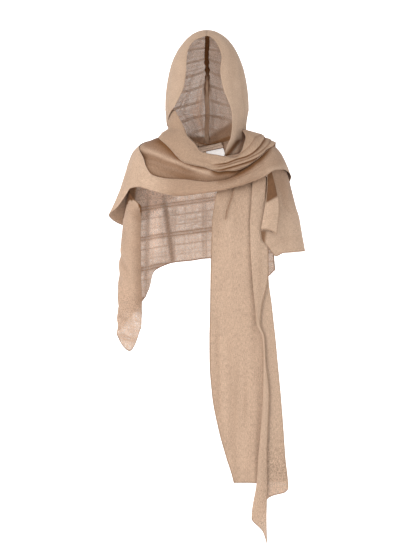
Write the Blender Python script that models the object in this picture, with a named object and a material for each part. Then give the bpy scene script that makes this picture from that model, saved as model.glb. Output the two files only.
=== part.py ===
"""Hooded gauze scarf, in the shape it has when worn.

Metres, +Z up. The viewer stands at -Y, and +X is to the viewer's right. The origin is the inside of the
hood's crown, where a head carries the scarf.

Every sheet of cloth is a grid of points. The hood's points lie on a shell about the head. All other
sheets lie on a form, a smooth body with a neck and shoulders that is never built itself: a point is
given by its turn about the neck (0 in front, 90 at the viewer's right, 180 behind), its drop below the
crown and its lift off the form. Lifts count layers of cloth, so that sheets stay clear of each other.
"""

import bpy
import numpy as np

# Cloth
CLOTH = 0.0016           # wall of one sheet
AIR = 0.0005             # least air between two sheets that touch
LAYER = CLOTH + AIR      # step from one sheet to the next
SEAM_GAP = 0.0003        # gap between the two halves of the hood

# Hood
CROWN_EASE = 0.003       # crown of the hood above the head that carries it
EAR_DROP = 0.214         # crown of the head down to the hood's widest level
HOOD_LEFT = 0.115        # half width at that level
HOOD_RIGHT = 0.115
HOOD_FRONT = 0.107       # the shell in front of its axis, before the face is cut out
HOOD_BACK = 0.105
HOOD_HEM_DROP = 0.302    # hem at the nape
SEAM_TAPE_WIDTH = 0.012
SEAM_TAPE_THICK = 0.0012

# Form under the sheets
SETBACK = 0.020          # axis of the neck behind the origin
CHEST_DROP = 0.440
SHOULDER_HALF = 0.209    # half width over the arms
CHEST_HALF = 0.108       # half depth
FORM_ROUND = 2.3         # superellipse exponent of a level section

# Ends of the cloth
FLAP_DROP = 0.877        # tip of the flap at the viewer's left
SLEEVE_DROP = 0.607      # hem of the drape over the right shoulder
TAIL_DROP = 1.240        # hem of the long tail
TIP_DROP = 1.396         # tip of its rolled edge

ROLL_HEIGHT = 0.015      # roll at the back of the neck
ROLL_THICK = 0.0035
ROLL_TILT = 0.00030      # its rise toward the viewer's right, per degree of turn
ROLL_AIR = 0.0018        # roll to the drape behind it
NECK_TOP = 0.3070        # top of the roll, under the hood's hem
LABEL_WIDTH = 0.052
LABEL_HEIGHT = 0.024
LABEL_THICK = 0.0010

# Level sections of the form: name, drop / CHEST_DROP, left and right / SHOULDER_HALF,
# front and back / CHEST_HALF
FORM = (
    ("ear", 0.486, 0.440, 0.440, 0.780, 0.780),
    ("jaw", 0.568, 0.435, 0.435, 0.750, 0.650),
    ("nape", 0.632, 0.460, 0.460, 0.760, 0.600),
    ("collar", 0.664, 0.595, 0.595, 0.770, 0.620),
    ("slope", 0.691, 0.730, 0.730, 0.785, 0.700),
    ("slope_end", 0.718, 0.833, 0.833, 0.805, 0.790),
    ("shoulder", 0.777, 0.938, 0.942, 0.850, 0.930),
    ("arm", 0.875, 1.000, 1.005, 0.890, 1.000),
    ("chest", 1.000, 1.043, 1.033, 0.907, 1.000),
    ("elbow", 1.182, 1.091, 1.081, 0.907, 1.000),
    ("hip", 1.455, 1.129, 1.110, 0.889, 1.000),
    ("thigh", 2.045, 1.148, 1.500, 0.850, 1.000),
    ("shin", 2.841, 1.148, 2.000, 0.800, 1.000),
    ("foot", 3.250, 1.148, 2.000, 0.800, 1.000),
)

# Hood below the ears: drop / HOOD_HEM_DROP, then shares of the hood's left, right, front and back
HOOD_LOW = (
    ("ear", 0.704, 1.000, 1.000, 1.000, 1.000),
    ("jaw", 0.822, 0.962, 0.945, 0.970, 0.820),
    ("nape", 0.921, 0.900, 0.930, 0.930, 0.700),
    ("hem", 1.000, 0.880, 0.920, 0.910, 0.755),
    ("under_wrap", 1.170, 0.880, 0.900, 0.900, 0.760),
)
SIDE_ROUND = 2.1         # exponent of the hood seen from the front
FRONT_ROUND = 4.0        # exponents of its centre seam, in front of the axis and behind it
BACK_ROUND = 2.4

# Face opening, from its top to its lower end: drop / EAR_DROP, half width / the hood's half width
RIM_LEFT = (
    (0.098, 0.000), (0.150, 0.270), (0.217, 0.393), (0.290, 0.452), (0.380, 0.475), (0.530, 0.487),
    (0.640, 0.512), (0.760, 0.550), (0.853, 0.632), (0.930, 0.713), (0.995, 0.774),
)
RIM_RIGHT = (
    (0.098, 0.000), (0.113, 0.085), (0.159, 0.181), (0.223, 0.253), (0.310, 0.322), (0.400, 0.345),
    (0.530, 0.312), (0.660, 0.335), (0.800, 0.396), (0.930, 0.492), (1.000, 0.545),
)
# Below the ears the rim is given by its turn: drop / HOOD_HEM_DROP, turn
RIM_LOW_LEFT = ((0.704, 52.5), (0.753, 63.0), (0.800, 73.0), (0.830, 82.0))
RIM_LOW_RIGHT = ((0.704, 34.0), (0.790, 39.0), (0.900, 40.5), (0.975, 39.5), (1.055, 33.0), (1.150, 28.0))
# Hem from the rim's lower end to the nape: place / 1, drop / HOOD_HEM_DROP
HEM_LEFT = ((0.0, 0.830), (0.25, 0.868), (0.5, 0.925), (0.75, 0.975), (1.0, 1.000))
HEM_RIGHT = ((0.0, 1.150), (0.2, 1.110), (0.38, 0.990), (0.6, 0.955), (0.8, 0.975), (1.0, 1.000))
SEAM_FRONT_TURN = 65.0   # tilt of the seam's front end above level, seen from the ear
SEAM_CORNER_TURN = 128.0  # tilt where the crown seam turns down the back

# Sheets on the form. Each guide line runs along the cloth, and a row is one section of it:
# turn, drop / CHEST_DROP, lift in layers
WRAP_TOP = (
    (-104.0, 0.500, 5.1), (-88.0, 0.495, 6.0), (-72.0, 0.492, 6.6), (-58.0, 0.495, 6.2), (-47.0, 0.556, 6.0),
    (-31.5, 0.672, 6.0), (-19.5, 0.718, 6.0), (-10.0, 0.765, 6.0), (0.7, 0.778, 6.0), (16.0, 0.787, 6.0),
    (29.0, 0.796, 6.0), (40.0, 0.803, 6.2), (47.0, 0.765, 6.8), (54.0, 0.705, 7.4), (70.0, 0.660, 7.2),
    (93.0, 0.660, 6.8), (115.0, 0.680, 8.4), (133.0, 0.730, 10.0), (143.0, 0.840, 9.6), (146.0, 0.960, 9.2),
)
WRAP_LOW = (
    (-104.0, 0.640, 6.5), (-92.0, 0.650, 6.0), (-78.0, 0.668, 6.0), (-59.6, 0.711, 5.8), (-49.5, 0.755, 5.8),
    (-42.0, 0.799, 5.8), (-34.0, 0.831, 5.8), (-20.0, 0.850, 5.8), (-5.0, 0.862, 5.8), (10.0, 0.890, 5.8),
    (20.0, 0.908, 6.0), (38.0, 0.891, 6.6), (52.0, 0.852, 7.6), (62.0, 0.795, 8.4), (71.0, 0.752, 8.2),
    (88.0, 0.736, 7.5), (105.0, 0.750, 8.7), (119.0, 0.785, 10.8), (126.0, 0.880, 11.0), (127.0, 0.990, 11.0),
)
COWL_LINES = (
    ((-116.0, 0.655, 3.0), (-104.0, 0.642, 3.0), (-92.0, 0.635, 3.0), (-76.0, 0.640, 3.0), (-60.0, 0.668, 2.8),
     (-42.0, 0.745, 2.6), (-20.0, 0.800, 2.4), (5.0, 0.815, 2.4), (30.0, 0.810, 2.4), (50.0, 0.770, 2.4)),
    ((-116.0, 0.690, 2.6), (-104.0, 0.695, 2.6), (-90.0, 0.705, 2.8), (-78.0, 0.741, 4.2), (-63.0, 0.774, 4.4),
     (-46.0, 0.822, 3.9), (-22.0, 0.850, 3.2), (5.0, 0.862, 2.6), (30.0, 0.855, 2.6), (50.0, 0.810, 2.4)),
    ((-116.0, 0.735, 2.4), (-104.0, 0.745, 2.4), (-93.0, 0.755, 2.4), (-79.0, 0.790, 2.2), (-63.0, 0.816, 2.0),
     (-47.0, 0.862, 1.8), (-22.0, 0.895, 1.6), (6.0, 0.900, 1.6), (30.0, 0.885, 1.8), (51.0, 0.840, 2.0)),
    ((-116.0, 0.790, 3.8), (-104.0, 0.805, 3.3), (-95.0, 0.815, 3.0), (-80.0, 0.838, 3.2), (-64.0, 0.862, 4.0),
     (-48.0, 0.897, 4.0), (-25.0, 0.932, 3.2), (7.0, 0.935, 2.2), (30.0, 0.915, 2.0), (52.0, 0.868, 2.0)),
    ((-116.0, 0.840, 3.65), (-104.0, 0.855, 3.2), (-97.0, 0.865, 3.2), (-81.0, 0.885, 2.6), (-65.0, 0.905, 3.0),
     (-49.0, 0.940, 3.0), (-26.0, 0.964, 2.2), (7.0, 0.955, 1.8), (30.0, 0.932, 1.8), (52.0, 0.885, 2.0)),
)
DRAPE_TOP = (
    (-180.0, 0.640, 6.4), (-150.0, 0.640, 6.0), (-120.0, 0.645, 5.6), (-100.0, 0.685, 5.6), (-88.0, 0.716, 5.8),
    (-78.0, 0.750, 6.2), (-70.5, 0.800, 6.4), (-66.3, 0.862, 6.2), (-62.0, 0.905, 6.0), (-50.0, 0.930, 6.0),
    (-31.5, 0.936, 6.2), (-16.0, 0.946, 6.8), (1.6, 0.952, 7.0), (15.0, 0.946, 6.6), (27.0, 0.938, 5.6),
    (38.0, 0.915, 5.0), (49.0, 0.868, 5.4), (60.0, 0.812, 6.4), (72.0, 0.752, 6.2), (86.0, 0.715, 5.2),
    (104.0, 0.700, 5.4), (122.0, 0.685, 6.0), (150.0, 0.650, 6.4), (180.0, 0.640, 6.4),
)
DRAPE_LOW = (
    (-180.0, 0.985, 4.0), (-150.0, 0.985, 4.4), (-125.0, 1.080, 8.0), (-108.0, 1.210, 17.5), (-94.0, 1.158, 22.5),
    (-86.0, 1.110, 12.0), (-81.5, 1.035, 6.4), (-77.5, 0.984, 5.2), (-71.0, 0.978, 4.8), (-62.0, 1.001, 4.6),
    (-50.0, 1.027, 4.8), (-37.0, 1.037, 5.2), (-12.0, 1.023, 5.4), (16.0, 1.008, 5.6), (38.0, 0.984, 7.4),
    (54.0, 0.950, 10.0), (62.0, 0.921, 11.5), (70.0, 0.881, 11.6), (77.0, 0.873, 10.0), (85.0, 0.890, 8.8),
    (100.0, 0.940, 10.0), (122.0, 0.955, 8.0), (150.0, 0.970, 5.6), (180.0, 0.985, 4.0),
)
# Rows of the drape, closer together over the shoulders; its lift grows faster toward the hem
DRAPE_ROWS = (0.0, 0.07, 0.14, 0.22, 0.32, 0.44, 0.60, 0.80, 1.0)
DRAPE_FLARE = 2.6
SHAWL_TOP = (
    (-88.0, 0.800, 0.9), (-92.0, 0.800, 0.9), (-97.0, 0.800, 0.8), (-102.0, 0.800, 0.8), (-108.0, 0.805, 0.8),
    (-117.0, 0.810, 0.8), (-126.0, 0.815, 0.8), (-140.0, 0.820, 0.8), (-157.0, 0.820, 0.8), (-183.0, 0.820, 0.8),
    (-207.0, 0.820, 1.2), (-227.0, 0.820, 1.1), (-240.0, 0.820, 0.8), (-248.0, 0.820, 0.8),
)
# Hem of the shawl: turn, drop / FLAP_DROP, lift in layers
SHAWL_HEM = (
    (-68.6, 0.926, 2.0), (-75.7, 0.998, 3.0), (-86.0, 0.952, 4.2), (-96.0, 0.936, 3.0), (-107.0, 0.885, 1.2),
    (-117.5, 0.806, 0.2), (-121.0, 0.752, 1.2), (-137.0, 0.722, 1.4), (-156.0, 0.716, 1.0), (-184.0, 0.708, 1.0),
    (-207.0, 0.720, 1.0), (-228.0, 0.742, 1.0), (-242.0, 0.770, 1.2), (-250.0, 0.746, 1.2),
)
# Front edge of the flap: drop / CHEST_DROP, turn back from the hem's own turn
FLAP_SWEEP = ((0.80, -22.0), (0.95, -16.0), (1.035, -9.0), (1.065, -5.0), (1.095, -2.0), (1.30, -1.5), (1.90, 0.0))
SLEEVE_TOP = (
    (150.0, 0.830, 2.4), (128.0, 0.830, 2.6), (108.0, 0.820, 3.4), (94.0, 0.815, 3.6), (84.0, 0.815, 3.2),
    (77.0, 0.825, 3.2), (72.0, 0.840, 3.6), (68.5, 0.868, 4.6), (66.5, 0.880, 5.4), (66.0, 0.884, 6.4),
    (67.0, 0.880, 7.4), (69.0, 0.872, 7.4),
)
SLEEVE_MID = (
    (150.0, 1.100, 2.2), (128.0, 1.100, 4.6), (108.0, 1.090, 8.8), (94.0, 1.080, 12.0), (84.0, 1.070, 6.6),
    (77.0, 1.065, 4.0), (72.0, 1.060, 4.4), (67.5, 1.055, 6.0), (64.2, 1.050, 7.0), (63.6, 1.045, 8.4),
    (66.0, 1.050, 10.2), (71.5, 1.065, 10.0),
)
# Hem of the sleeve drape: turn, drop / SLEEVE_DROP, lift in layers
SLEEVE_HEM = (
    (150.0, 0.930, 2.4), (130.0, 0.960, 7.4), (110.0, 0.985, 15.0), (93.0, 0.994, 20.0), (82.0, 1.000, 8.4),
    (75.0, 1.004, 4.2), (70.0, 1.018, 5.6), (65.0, 0.978, 7.2), (60.5, 0.940, 8.2), (59.6, 0.898, 9.6),
    (64.5, 0.902, 12.0), (69.0, 0.922, 11.4),
)
# Long tail, by its level sections: drop / TAIL_DROP, then the places across of its left edge, its bend
# at the right, its front fold and its rolled free edge, / SHOULDER_HALF
TAIL_LEVELS = (
    ("under_band", 0.325, 0.165, 0.780, 0.575, 0.735),
    ("bust", 0.379, 0.101, 0.806, 0.565, 0.742),
    ("waist", 0.424, 0.064, 0.804, 0.548, 0.748),
    ("belly", 0.478, 0.055, 0.790, 0.554, 0.774),
    ("hip", 0.539, 0.045, 0.788, 0.573, 0.774),
    ("thigh", 0.611, 0.038, 0.836, 0.613, 0.693),
    ("above_knee", 0.643, 0.034, 0.856, 0.628, 0.677),
    ("knee", 0.674, 0.030, 0.877, 0.702, 0.735),
    ("under_knee", 0.724, 0.032, 0.905, 0.720, 0.752),
    ("calf", 0.800, 0.064, 0.948, 0.715, 0.795),
    ("shin", 0.882, 0.157, 0.987, 0.684, 0.777),
    ("ankle", 0.932, 0.239, 1.007, 0.658, 0.767),
    ("hem", 0.991, 0.342, 1.044, 0.634, 0.771),
    ("roll_end", 1.067, 0.400, 1.060, 0.569, 0.760),
    ("above_tip", 1.091, 0.400, 1.060, 0.664, 0.762),
    ("tip", 1.131, 0.400, 1.060, 0.724, 0.772),
)
# Columns of the tail's cloth: part it belongs to, share of the way across that part, lift in layers at
# its top and at its hem, and the hem's drop / TAIL_DROP
TAIL_ACROSS = (
    ("left_edge", "behind", 0.00, 0.9, 2.0, 0.992),
    ("pleat_in", "behind", 0.22, 0.7, 0.8, 0.992),
    ("pleat_out", "behind", 0.42, 1.0, 2.6, 0.992),
    ("behind_middle", "behind", 0.72, 0.7, 0.8, 0.990),
    ("behind_bend", "behind", 0.93, 0.7, 1.4, 0.992),
    ("bend", "behind", 1.00, 2.0, 4.6, 1.002),
    ("before_bend", "front", 0.12, 3.0, 7.2, 1.012),
    ("front", "front", 0.50, 3.1, 6.6, 1.020),
    ("before_fold", "front", 0.84, 3.1, 6.6, 1.045),
    ("fold", "front", 1.00, 4.5, 9.4, 1.067),
    ("roll", "edge", 0.40, 6.0, 12.2, 1.095),
    ("free_edge", "edge", 1.00, 5.5, 10.8, 1.126),
)
TAIL_TOP_LEFT = 0.343    # top of the tail under the chest band, / TAIL_DROP
TAIL_TOP_RIGHT = 0.325
TAIL_TUCK = 1.3          # lift of its top edge toward the band, in layers
TAIL_EVEN = 0.992        # level to which all columns fall together, / TAIL_DROP
TAIL_POINT = 0.70        # share of the length below which the hem's slant begins
TAIL_HANG = 0.46         # below this the tail hangs clear and its layers open, / TAIL_DROP


def smooth(xs, ys, x):
    """Monotone cubic through the rows xs, ys, read at x."""
    xs, ys, x = (np.asarray(v, float) for v in (xs, ys, x))
    step = np.diff(xs)
    slope = np.diff(ys) / step
    tangent = np.zeros_like(ys)
    for i in range(1, len(xs) - 1):
        before, after = slope[i - 1], slope[i]
        if before * after > 0:
            near = 2 * step[i] + step[i - 1]
            far = step[i] + 2 * step[i - 1]
            tangent[i] = (near + far) / (near / before + far / after)
    tangent[0], tangent[-1] = slope[0], slope[-1]
    i = np.clip(np.searchsorted(xs, x) - 1, 0, len(step) - 1)
    t = np.clip((x - xs[i]) / step[i], 0, 1)
    h = step[i]
    return ((1 + 2 * t) * (1 - t) ** 2 * ys[i] + t * (1 - t) ** 2 * h * tangent[i]
            + t * t * (3 - 2 * t) * ys[i + 1] + t * t * (t - 1) * h * tangent[i + 1])


def column(rows, k, x):
    """Column k of a table whose rows are sorted by their drop, read at the drops x."""
    start = 1 if isinstance(rows[0][0], str) else 0
    return smooth([r[start] for r in rows], [r[k] for r in rows], x)


def form_point(turn, drop):
    """Point of the form at a turn in degrees and a drop in metres."""
    turn, drop = np.broadcast_arrays(np.asarray(turn, float), np.asarray(drop, float))
    share = drop / CHEST_DROP
    sine, cosine = np.sin(np.radians(turn)), np.cos(np.radians(turn))
    side = np.where(sine < 0, column(FORM, 2, share), column(FORM, 3, share)) * SHOULDER_HALF
    depth = np.where(cosine > 0, column(FORM, 4, share), column(FORM, 5, share)) * CHEST_HALF
    reach = (np.abs(sine) / side) ** FORM_ROUND + (np.abs(cosine) / depth) ** FORM_ROUND
    r = reach ** (-1 / FORM_ROUND)
    return np.stack([r * sine, SETBACK - r * cosine, -drop], -1)


def form_turn(across, drop):
    """Turn at which the front of the form is a distance across from the middle, in metres."""
    share = drop / CHEST_DROP
    side = column(FORM, 3, share) * SHOULDER_HALF
    depth = column(FORM, 4, share) * CHEST_HALF
    ahead = depth * (1 - (np.abs(across) / side) ** FORM_ROUND) ** (1 / FORM_ROUND)
    return np.degrees(np.arctan2(across, ahead))


def form_normal(turn, drop):
    """Unit vector off the form, evened out over the neck's hollow."""
    turn_step, drop_step = 0.5, 0.025
    along = form_point(turn + turn_step, drop) - form_point(turn - turn_step, drop)
    down = form_point(turn, drop + drop_step) - form_point(turn, drop - drop_step)
    normal = np.cross(down, along)
    normal /= np.linalg.norm(normal, axis=-1, keepdims=True)
    outward = form_point(turn, drop) - [0, SETBACK, 0]
    facing = np.sign((normal[..., :2] * outward[..., :2]).sum(-1, keepdims=True))
    return normal * facing


def on_form(turn, drop, lift):
    """Points at a turn, a drop in metres and a lift in metres."""
    return form_point(turn, drop) + np.asarray(lift)[..., None] * form_normal(turn, drop)


def read_line(line, count):
    """Guide line read at count + 1 even places: turn, drop share and lift in layers."""
    rows = np.asarray(line, float)
    places = np.linspace(0, len(rows) - 1, count + 1)
    return np.stack([smooth(np.arange(len(rows)), rows[:, k], places) for k in range(3)], -1)


def between(lines, rows):
    """Grid from guide lines read at the same places, with rows as shares of the way down."""
    stack = np.stack(lines, 1)
    at = np.linspace(0, 1, stack.shape[1])
    down = np.asarray(rows)
    grid = np.empty((stack.shape[0], len(down), 3))
    for i in range(stack.shape[0]):
        for k in range(3):
            grid[i, :, k] = smooth(at, stack[i, :, k], down)
    return grid


def grid_normals(points, closed=False):
    if closed:
        along = np.roll(points, -1, 0) - np.roll(points, 1, 0)
    else:
        along = np.gradient(points, axis=0)
    normal = np.cross(along, np.gradient(points, axis=1))
    return normal / np.linalg.norm(normal, axis=-1, keepdims=True)


def material(name, colour, roughness=0.9):
    made = bpy.data.materials.new(name)
    made.use_nodes = True
    shader = made.node_tree.nodes["Principled BSDF"]
    shader.inputs["Base Color"].default_value = (*colour, 1.0)
    shader.inputs["Roughness"].default_value = roughness
    shader.inputs["Metallic"].default_value = 0.0
    return made


def solid(name, points, thickness, finish, closed=False):
    """Closed sheet of the given thickness about a grid of points. closed joins its two ends."""
    half = grid_normals(points, closed) * thickness / 2
    across, down = points.shape[:2]
    vertices = np.concatenate([(points + half).reshape(-1, 3), (points - half).reshape(-1, 3)])
    back = across * down
    faces = []
    spans = across if closed else across - 1
    for i in range(spans):
        k = (i + 1) % across
        for j in range(down - 1):
            a, b, c, d = i * down + j, k * down + j, k * down + j + 1, i * down + j + 1
            for e, f, g in ((a, b, c), (a, c, d)):
                faces += [(e, f, g), (back + g, back + f, back + e)]
        for j, flip in ((0, False), (down - 1, True)):
            a, b = i * down + j, k * down + j
            side = (a, back + a, back + b, b)
            faces.append(side[::-1] if flip else side)
    if not closed:
        for i, flip in ((0, True), (across - 1, False)):
            for j in range(down - 1):
                a, b = i * down + j, i * down + j + 1
                side = (a, back + a, back + b, b)
                faces.append(side[::-1] if flip else side)
    return build(name, vertices, faces, finish)


def build(name, vertices, faces, finish):
    mesh = bpy.data.meshes.new(name)
    mesh.from_pydata([tuple(v) for v in vertices], [], faces)
    mesh.validate()
    made = bpy.data.objects.new(name, mesh)
    bpy.context.scene.collection.objects.link(made)
    bpy.context.view_layer.update()
    turn_outward(mesh)
    mesh.shade_smooth()
    mesh.materials.append(finish)
    return made


def turn_outward(mesh):
    """Flips all faces of a closed mesh if its signed volume is negative."""
    mesh.calc_loop_triangles()
    corners = np.array([[mesh.vertices[i].co[:] for i in t.vertices] for t in mesh.loop_triangles])
    volume = np.einsum("ij,ij->i", corners[:, 0], np.cross(corners[:, 1], corners[:, 2])).sum()
    if volume < 0:
        mesh.flip_normals()


def hood_reach(direction, width):
    """Distance from the middle of the head to the hood's shell along unit vectors, above the ears."""
    x, y, z = (np.abs(direction[..., k]) for k in range(3))
    front = direction[..., 1] < 0
    depth = np.where(front, HOOD_FRONT, HOOD_BACK)
    power = np.where(front, FRONT_ROUND, BACK_ROUND)
    seam = ((y / depth) ** power + (z / (EAR_DROP + CROWN_EASE)) ** power) ** (1 / power)
    return ((x / width) ** SIDE_ROUND + seam ** SIDE_ROUND) ** (-1 / SIDE_ROUND)


def rim_direction(half_width, drop, width):
    """Unit vector from the middle of the head to a point of the rim."""
    height = (EAR_DROP - drop) / (EAR_DROP + CROWN_EASE)
    seam = (1 - (half_width / width) ** SIDE_ROUND) ** (1 / SIDE_ROUND)
    y = -HOOD_FRONT * np.clip(seam ** FRONT_ROUND - height ** FRONT_ROUND, 1e-6, 1) ** (1 / FRONT_ROUND)
    direction = np.stack([half_width, y, EAR_DROP - drop], -1)
    return direction / np.linalg.norm(direction, axis=-1, keepdims=True)


def spread(start, end, share):
    """Unit vectors between two unit vectors."""
    angle = np.arccos(np.clip((start * end).sum(-1, keepdims=True), -1, 1))
    share = np.asarray(share)[..., None]
    return (np.sin((1 - share) * angle) * start + np.sin(share * angle) * end) / np.sin(angle)


def hood_half(side, across=18, over=11, below=5):
    """Grid of one half: columns from the rim back to the seam, rows from the hem up to the seam."""
    left = side < 0
    width = HOOD_LEFT if left else HOOD_RIGHT
    rim, rim_low, hem = (
        (RIM_LEFT, RIM_LOW_LEFT, HEM_LEFT) if left else (RIM_RIGHT, RIM_LOW_RIGHT, HEM_RIGHT))
    place = np.linspace(0, 1, across + 1)
    first = rim_low[0][1]
    turns = np.radians(first + (180 - first) * place)
    level = np.stack([np.sin(turns), -np.cos(turns), np.zeros_like(turns)], -1)
    tilt = np.radians(SEAM_FRONT_TURN + (SEAM_CORNER_TURN - SEAM_FRONT_TURN) * place)
    seam = np.stack([np.zeros_like(tilt), -np.cos(tilt), np.sin(tilt)], -1)
    rise = np.linspace(0, 1, over + 1)
    even = spread(level[:, None], seam[:, None], np.broadcast_to(rise, (across + 1, over + 1)))
    rows = np.array(rim[::-1])
    rows_at = np.linspace(0, 1, len(rows))
    rim_line = rim_direction(
        smooth(rows_at, rows[:, 1], rise) * width, smooth(rows_at, rows[:, 0], rise) * EAR_DROP, width)
    even += (rim_line - even[0])[None] * (1 - place[:, None, None]) ** 2
    even /= np.linalg.norm(even, axis=-1, keepdims=True)
    head = np.array([0, SETBACK, -EAR_DROP])
    upper = head + even * hood_reach(even, width)[..., None]
    lowest = smooth([r[0] for r in hem], [r[1] for r in hem], place) * HOOD_HEM_DROP
    fall = np.linspace(1, 0, below + 1)[:-1]
    drop = EAR_DROP + (lowest[:, None] - EAR_DROP) * fall[None]
    share = drop / HOOD_HEM_DROP
    edge = smooth([r[0] for r in rim_low], [r[1] for r in rim_low], share)
    turn = np.radians(edge + (180 - edge) * place[:, None])
    side_half = column(HOOD_LOW, 2 if left else 3, share) * width
    depth = np.where(np.cos(turn) > 0, column(HOOD_LOW, 4, share) * HOOD_FRONT,
                     column(HOOD_LOW, 5, share) * HOOD_BACK)
    r = ((np.sin(turn) / side_half) ** SIDE_ROUND + (np.abs(np.cos(turn)) / depth) ** SIDE_ROUND)
    r = r ** (-1 / SIDE_ROUND)
    lower = np.stack([r * np.sin(turn), SETBACK - r * np.cos(turn), -drop], -1)
    grid = np.concatenate([lower, upper], 1)
    grid[..., 0] = side * np.maximum(grid[..., 0], 0)
    return grid


def make_hood(finish):
    for name, side in (("hood_left", -1), ("hood_right", 1)):
        grid = hood_half(side)
        made = solid(name, grid, CLOTH, finish)
        for vertex in made.data.vertices:
            if side * vertex.co.x < SEAM_GAP / 2:
                vertex.co.x = side * SEAM_GAP / 2


def make_seam_tape(finish):
    """Flat felled seam inside the hood, from the top of the face opening to the nape."""
    grid = hood_half(-1)
    path = np.concatenate([grid[:, -1], grid[-1, -2::-1]])
    path[:, 0] = 0
    along = np.gradient(path, axis=0)
    inward = np.stack([np.zeros(len(path)), along[:, 2], -along[:, 1]], -1)
    inward /= np.linalg.norm(inward, axis=-1, keepdims=True)
    middle = np.array([0, SETBACK, -EAR_DROP])
    inward *= np.sign(((middle - path) * inward).sum(-1, keepdims=True))
    path, inward = path[:-1], inward[:-1]
    path = path + inward * (CLOTH / 2 + 2 * AIR + SEAM_TAPE_THICK / 2)
    half = np.array([SEAM_TAPE_WIDTH / 2, 0, 0])
    edge = path + inward * SEAM_TAPE_THICK
    return solid("hood_seam", np.stack([edge - half, path, edge + half], 1), SEAM_TAPE_THICK, finish)


def make_neck_wrap(finish):
    spans, rows = 40, np.linspace(0, 1, 9)
    grid = between((read_line(WRAP_TOP, spans), read_line(WRAP_LOW, spans)), rows)
    across = np.linspace(0, 1, spans + 1)
    pleated = smooth((0, 0.42, 0.60, 0.85, 1), (0, 0, 1, 1, 0.5), across)[:, None]
    grid[..., 2] += pleated * 0.7 * np.cos(rows * 2 * 2 * np.pi)[None]
    return solid("neck_wrap", layered(grid), CLOTH, finish)


def layered(grid):
    """Points of a grid of turns, drop shares and lifts in layers."""
    return on_form(grid[..., 0], grid[..., 1] * CHEST_DROP, grid[..., 2] * LAYER)


def make_cowl(finish):
    grid = between([read_line(line, 22) for line in COWL_LINES], np.linspace(0, 1, 9))
    return solid("cowl", layered(grid), CLOTH, finish)


def make_shoulder_drape(finish):
    top, low = read_line(DRAPE_TOP, 48)[:-1], read_line(DRAPE_LOW, 48)[:-1]
    grid = between((top, low), DRAPE_ROWS)
    rows = np.array(DRAPE_ROWS)[None]
    grid[..., 2] = top[:, 2:] + (low[:, 2:] - top[:, 2:]) * rows ** DRAPE_FLARE
    return solid("shoulder_drape", layered(grid), CLOTH, finish, closed=True)


def make_back_shawl(finish):
    spans = 34
    top, hem = read_line(SHAWL_TOP, spans), read_line(SHAWL_HEM, spans)
    hem[:, 1] *= FLAP_DROP / CHEST_DROP
    grid = between((top, hem), np.linspace(0, 1, 11))
    sweep = smooth([r[0] for r in FLAP_SWEEP], [r[1] for r in FLAP_SWEEP], grid[..., 1])
    across = np.linspace(0, 1, spans + 1)[:, None]
    reach = np.clip(1 - across / 0.22, 0, 1) ** 1.5
    grid[..., 0] = (hem[:, 0:1] + sweep) * reach + grid[..., 0] * (1 - reach)
    return solid("back_shawl", layered(grid), CLOTH, finish)


def make_sleeve_drape(finish):
    top, mid, hem = (read_line(line, 25) for line in (SLEEVE_TOP, SLEEVE_MID, SLEEVE_HEM))
    hem[:, 1] *= SLEEVE_DROP / CHEST_DROP
    grid = between((top, mid, hem), np.linspace(0, 1, 9))
    return solid("sleeve_drape", layered(grid), CLOTH, finish)


def make_tail(finish):
    """Long tail: left edge, bend at the right, front layer and rolled free edge."""
    spans, rows = 22, np.linspace(0, 1, 18)
    stack = []
    for name, part, share, lift_top, lift_hem, hem in TAIL_ACROSS:
        hem = TIP_DROP / TAIL_DROP if name == "free_edge" else hem
        top = TAIL_TOP_LEFT if name in ("left_edge", "pleat_in") else TAIL_TOP_RIGHT
        drop = top + (TAIL_EVEN - top) * rows
        drop = drop + (hem - TAIL_EVEN) * np.clip((rows - TAIL_POINT) / (1 - TAIL_POINT), 0, 1) ** 1.3
        left, bend, fold, edge = (column(TAIL_LEVELS, k, drop) for k in (2, 3, 4, 5))
        start, end = {"behind": (left, bend), "front": (bend, fold), "edge": (fold, edge)}[part]
        lift = lift_top + (lift_hem - lift_top) * np.clip((drop - TAIL_HANG) / (1 - TAIL_HANG), 0, 1)
        lift = lift + TAIL_TUCK * np.clip(1 - rows * 16, 0, 1)
        stack.append(np.stack([start + (end - start) * share, drop, lift], -1))
    stack = np.stack(stack)
    at = np.linspace(0, len(stack) - 1, spans + 1)
    grid = np.empty((spans + 1, len(rows), 3))
    for j in range(len(rows)):
        for k in range(3):
            grid[:, j, k] = smooth(np.arange(len(stack)), stack[:, j, k], at)
    drop = grid[..., 1] * TAIL_DROP
    turn = form_turn(grid[..., 0] * SHOULDER_HALF, drop)
    return solid("long_tail", on_form(turn, drop, grid[..., 2] * LAYER), CLOTH, finish)


def make_neck_roll(finish):
    turn, drop = np.meshgrid(np.linspace(150, 200, 11), NECK_TOP + ROLL_HEIGHT * np.linspace(0, 1, 4),
                             indexing="ij")
    drop = drop - ROLL_TILT * (180 - turn)
    lift = np.full(turn.shape, DRAPE_TOP[0][2] * LAYER - CLOTH / 2 - ROLL_AIR - ROLL_THICK / 2)
    return solid("neck_roll", on_form(turn, drop, lift), ROLL_THICK, finish)


def make_neck_label(finish):
    arc = np.degrees(LABEL_WIDTH / (CHEST_HALF * 0.85))
    turn, drop = np.meshgrid(np.linspace(181.5 - arc, 181.5, 7), np.linspace(0, LABEL_HEIGHT, 4),
                             indexing="ij")
    drop = drop + NECK_TOP + ROLL_HEIGHT + AIR - ROLL_TILT * (180 - turn)
    lift = np.full(turn.shape, DRAPE_TOP[0][2] * LAYER - CLOTH / 2 - ROLL_AIR - ROLL_THICK / 2)
    return solid("neck_label", on_form(turn, drop, lift), LABEL_THICK, finish)


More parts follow.
